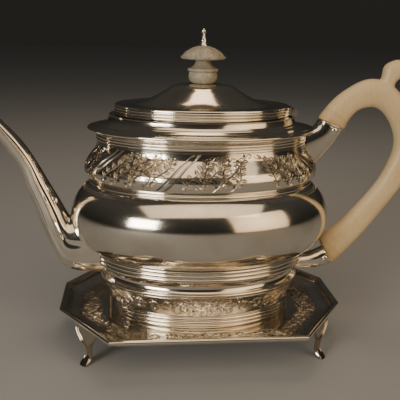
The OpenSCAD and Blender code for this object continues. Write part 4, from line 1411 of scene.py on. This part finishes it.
    def build(self) -> None:
        """Builds every fitting."""
        self.spout()
        self.handle()
        self.socket("upper_socket", ((71.6, 137.2), (86.6, 130.7)), 5.6, ((69.6, 134), (79.4, 119.6)), 5.7,
                    131.2, 108.4, 5.6)
        self.socket("lower_socket", ((79, 55.2), (84.8, 44.1)), 5.4, ((71.9, 51.9), (75, 41.6)), 5.6,
                    50.6, 41.9, 6.4)
        self.pin("upper_handle_pin")
        self.pin("lower_handle_pin")


@dataclass
class Lid:
    """The hinged lid with its reeded edge, ogee dome and turned finial."""

    plan: OvalPlan
    gauge: float = 1.0
    edge_wire_depth: float = 2.4
    bezel_gauge: float = 1.1
    # Half-length of the dome at its foot, and radius of the finial's knop that stands on its top
    dome_foot: float = 40.0
    knop_r: float = 9.0
    bolt_hole_r: float = 1.4
    # Height and length of the block that the notch for the hinge is cut with, and its play at each end
    notch_size: float = 12.0
    notch_play: float = 0.3

    def cover(self) -> None:
        """Builds the reeded edge, the flange and the dome."""
        reach, flange = -low_mm("lid_edge_wire").x, high_mm("lid_edge_wire").z
        z, top = flange + self.gauge, high_mm("lid_cover").z
        rise, foot, seat = top - z, self.dome_foot, self.knop_r * 0.7 / self.plan.ratio + 3
        dome = curve([(foot, z), (foot - 3, z + rise * 0.06), (foot - 9, z + rise * 0.25),
                      (foot - 17, z + rise * 0.62), (foot - 22.5, z + rise * 0.9), (seat, top)], 9)
        hole, under = self.bolt_hole_r, top - self.gauge
        outline = [(reach - 0.3, flange), (reach - 0.3, z - 0.35), (reach - 0.65, z), (foot + 1.2, z),
                   (foot + 0.5, z - 0.12), *dome, (hole, top), (hole, under)]
        outline += [(r - 0.6, h - self.gauge) for r, h in reversed(dome)]
        make_piece("lid_dome", self.plan.turn(outline), POLISHED, Body.LID, ["lid_cover"], 40)
        self.notch(drawn_wire("lid_reeds", "lid_edge_wire", self.plan, self.edge_wire_depth, 3, Body.LID))
        bottom, bezel = low_mm("lid_bezel").z, high_mm("lid_bezel")
        back = bezel.x - self.bezel_gauge
        strip = [(back, bottom), (bezel.x, bottom), (bezel.x, bezel.z), (back, bezel.z)]
        make_piece("bezel_strip", self.plan.turn(strip), SATIN, Body.LID, ["lid_bezel"])

    def notch(self, wire: bpy.types.Object) -> None:
        """Cuts the edge wire away where the hinge is let in.

        Args:
            wire: The edge wire, which is changed.
        """
        low, high, size = low_mm("lid_hinge_leaf"), high_mm("lid_hinge_leaf"), self.notch_size
        block = bmesh.new()
        bmesh.ops.create_cube(block, size=1.0)
        for v in block.verts:
            x, y, z = v.co
            v.co = Vector((x * size + low.x - self.notch_play + size / 2,
                           y * (high.y - low.y + 2 * self.notch_play), z * size + high.z - 3)) * MM
        cut_away(wire, "hinge_notch", block)

    def turned(self, name: str, outline: Sequence, finish: Finish, node: str) -> None:
        """Turns one round piece of the finial.

        Args:
            name: The piece's name.
            outline: Points [radius, height], from the bottom up.
            finish: Its finish.
            node: The CAD node that it replaces.
        """
        line = [(0.02, outline[0][1]), *outline, (0.02, outline[-1][1])]
        make_piece(name, OvalPlan(1.0, 96).turn(line, closed=False), finish, Body.LID, [node], 40)

    def finial(self) -> None:
        """Turns the knop, the button and the silver cap."""
        r, z, top = high_mm("finial_knop").x, low_mm("finial_knop").z, high_mm("finial_knop").z
        ring = z + (top - z) * 0.6
        knop = curve([(r * 0.5, z), (r * 0.7, z + 0.6), (r * 0.86, z + 2.2), (r * 0.92, z + 4.4),
                      (r * 0.88, ring - 1.4)], 6) + [(r * 0.84, ring - 1)]
        knop += arc((r * 0.88, ring), 0.95, -80, 80, 9) + [(r * 0.8, ring + 1.1)]
        knop += curve([(r * 0.74, ring + 1.5), (r * 0.58, ring + 2.8), (r * 0.48, top - 1),
                       (r * 0.5, top)], 6)
        self.turned("turned_knop", knop, HORN, "finial_knop")
        b, z, top = high_mm("finial_button").x, low_mm("finial_button").z, high_mm("finial_button").z
        rise = top - z
        button = curve([(r * 0.5, z), (b - 2.4, z + 0.5), (b - 0.5, z + 0.9), (b, z + 2),
                        (b - 0.9, z + rise * 0.3), (b * 0.78, z + rise * 0.58), (b * 0.48, z + rise * 0.86),
                        (b * 0.22, top)], 7)
        self.turned("turned_button", button, HORN, "finial_button")
        z, top = low_mm("finial_cap").z, high_mm("finial_cap").z
        cap = curve([(3.1, z), (2.9, z + 0.7), (2.2, z + 2.2), (1.9, z + 3.8), (1.3, z + 5.8),
                     (1.05, top - 2.9)], 6) + arc((0, top - 1.6), 1.6, -48, 89, 12)
        self.turned("silver_cap", cap, POLISHED, "finial_cap")

    def build(self) -> None:
        """Builds the lid."""
        self.cover()
        self.finial()


# ---------------------------------------------------------------- studio


@dataclass(frozen=True)
class Studio:
    """A pale floor, soft light and a camera a little above the pot's front."""

    azimuth: float = -5.889
    elevation: float = 14.932
    roll: float = 1.127
    distance_mm: float = 410.0
    lens_mm: float = 59.75
    film_mm: float = 36.0
    target_mm: tuple[float, float, float] = (-0.284, 0.0, 86.2)
    # Half the floor's side in metres, far enough for its edge to fade out
    floor_reach: float = 5.0
    # The dim room's colours at the floor and overhead
    room_low: str = "#262522"
    room_high: str = "#403E3A"

    def camera(self) -> None:
        """Makes the camera."""
        a, e, t = (math.radians(x) for x in (self.azimuth, self.elevation, self.roll))
        back = Vector((math.sin(a) * math.cos(e), -math.cos(a) * math.cos(e), math.sin(e)))
        right = Vector((0, 0, 1)).cross(back).normalized()
        up = back.cross(right)
        right, up = math.cos(t) * right + math.sin(t) * up, math.cos(t) * up - math.sin(t) * right
        data = bpy.data.cameras.new("camera")
        data.lens, data.sensor_width = self.lens_mm, self.film_mm
        camera = show("camera", data)
        place = (Vector(self.target_mm) + back * self.distance_mm) * MM
        turn = Matrix((right, up, back)).transposed().to_4x4()
        camera.matrix_world = Matrix.Translation(place) @ turn
        bpy.context.scene.camera = camera

    def area(self, name: str, place: tuple[float, float, float], aim: tuple[float, float, float],
             size: tuple[float, float], glow: float, colour: str, spread: float) -> bpy.types.Object:
        """Hangs a soft rectangular light behind a grid.

        Args:
            name: The light's name.
            place: Where it hangs, in metres.
            aim: The point that it faces.
            size: Its width and height in metres.
            glow: How bright its face looks.
            colour: Its sRGB colour.
            spread: Full angle in degrees that its grid lets through.
        """
        data = bpy.data.lights.new(name, "AREA")
        data.shape, data.size, data.size_y = "RECTANGLE", size[0], size[1]
        half = math.radians(spread / 2)
        # A grid keeps the light's whole power and so brightens its middle; the glow is set back for it
        data.energy = glow * math.pi * size[0] * size[1] * (1 - half / math.tan(half))
        data.spread = 2 * half
        data.color = linear(colour)[:3]
        light = show(name, data)
        light.location = place
        light.visible_camera = False
        light.rotation_mode = "QUATERNION"
        light.rotation_quaternion = (Vector(aim) - Vector(place)).to_track_quat("-Z", "Y")
        return light

    def lights(self) -> None:
        """Hangs the lights and sets the dim room round them."""
        middle = (0.0, 0.0, 0.09)
        self.area("front_ceiling_light", (0.05, -1.07, 1.33), middle, (2.5, 1.1), glow=1.5,
                  colour="#FFE4C2", spread=140)
        self.area("right_wall_light", (0.84, -0.88, 0.4), middle, (1.0, 0.76), glow=2.3,
                  colour="#FFDDB2", spread=90)
        self.area("lamp_light", (-0.8, -0.92, 0.33), middle, (0.46, 0.36), glow=18.0,
                  colour="#FFF6E8", spread=90)
        self.area("overhead_light", (0.07, 0.31, 1.35), (0.07, 0.2, 0.09), (0.4, 0.76), glow=4.0,
                  colour="#FFDFBC", spread=90)
        fill = self.area("floor_fill_light", (0.0, 0.2, 1.6), middle, (1.6, 1.6), glow=0.16,
                         colour="#FFFFFF", spread=150)
        fill.visible_glossy = False
        world = bpy.data.worlds.new("dim_room")
        bpy.context.scene.world = world
        world.use_nodes = True
        tree = world.node_tree
        tree.nodes.clear()
        way = add(tree, "ShaderNodeTexCoord").outputs["Generated"]
        height = add(tree, "ShaderNodeSeparateXYZ", links={0: way})
        shade = add(tree, "ShaderNodeMapRange", values={"From Min": 0.02, "From Max": 0.6},
                    links={"Value": height.outputs["Z"]})
        colour = add(tree, "ShaderNodeMix", {"data_type": "RGBA"}, values={6: linear(self.room_low),
                     7: linear(self.room_high)}, links={0: shade.outputs[0]})
        sky = add(tree, "ShaderNodeBackground", values={"Strength": 1.0}, links={"Color": colour.outputs[2]})
        add(tree, "ShaderNodeOutputWorld", links={"Surface": sky.outputs[0]})

    def floor(self) -> None:
        """Lays the pale paper floor."""
        edit = bmesh.new()
        bmesh.ops.create_grid(edit, x_segments=24, y_segments=24, size=self.floor_reach)
        paper = show_mesh("paper_floor", edit)
        paper.data.materials.append(PAPER.material())

    def build(self) -> None:
        """Builds the studio."""
        self.floor()
        self.lights()
        self.camera()


def finish_kept_nodes(nodes: dict[str, bpy.types.Object]) -> None:
    """Gives every CAD node that stays its finish.

    Args:
        nodes: The frame's CAD nodes by name.
    """
    kept = {"bottom_plate": SATIN, "body_hinge_leaf": POLISHED, "lid_hinge_leaf": POLISHED, "hinge_pin": WIRE,
            "finial_bolt": SATIN, "finial_nut": SATIN}
    for name, finish in kept.items():
        mesh = nodes[name].data
        mesh.materials.clear()
        mesh.materials.append(finish.material())
        LOG.info("%s: kept from the frame, %s", name, finish.name)


def main() -> None:
    """Builds the studio and dresses the stand, the pot and the lid."""
    logging.basicConfig(level=logging.INFO, format="%(message)s")
    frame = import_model()
    bowl = high_mm("bowl")
    plan = OvalPlan(ratio=bowl.y / bowl.x)
    Studio().build()
    Stand.from_frame().build()
    PotBody(plan).build()
    Fittings(plan).build()
    Lid(plan).build()
    finish_kept_nodes(frame["nodes"])


if __name__ == "__main__":
    main()
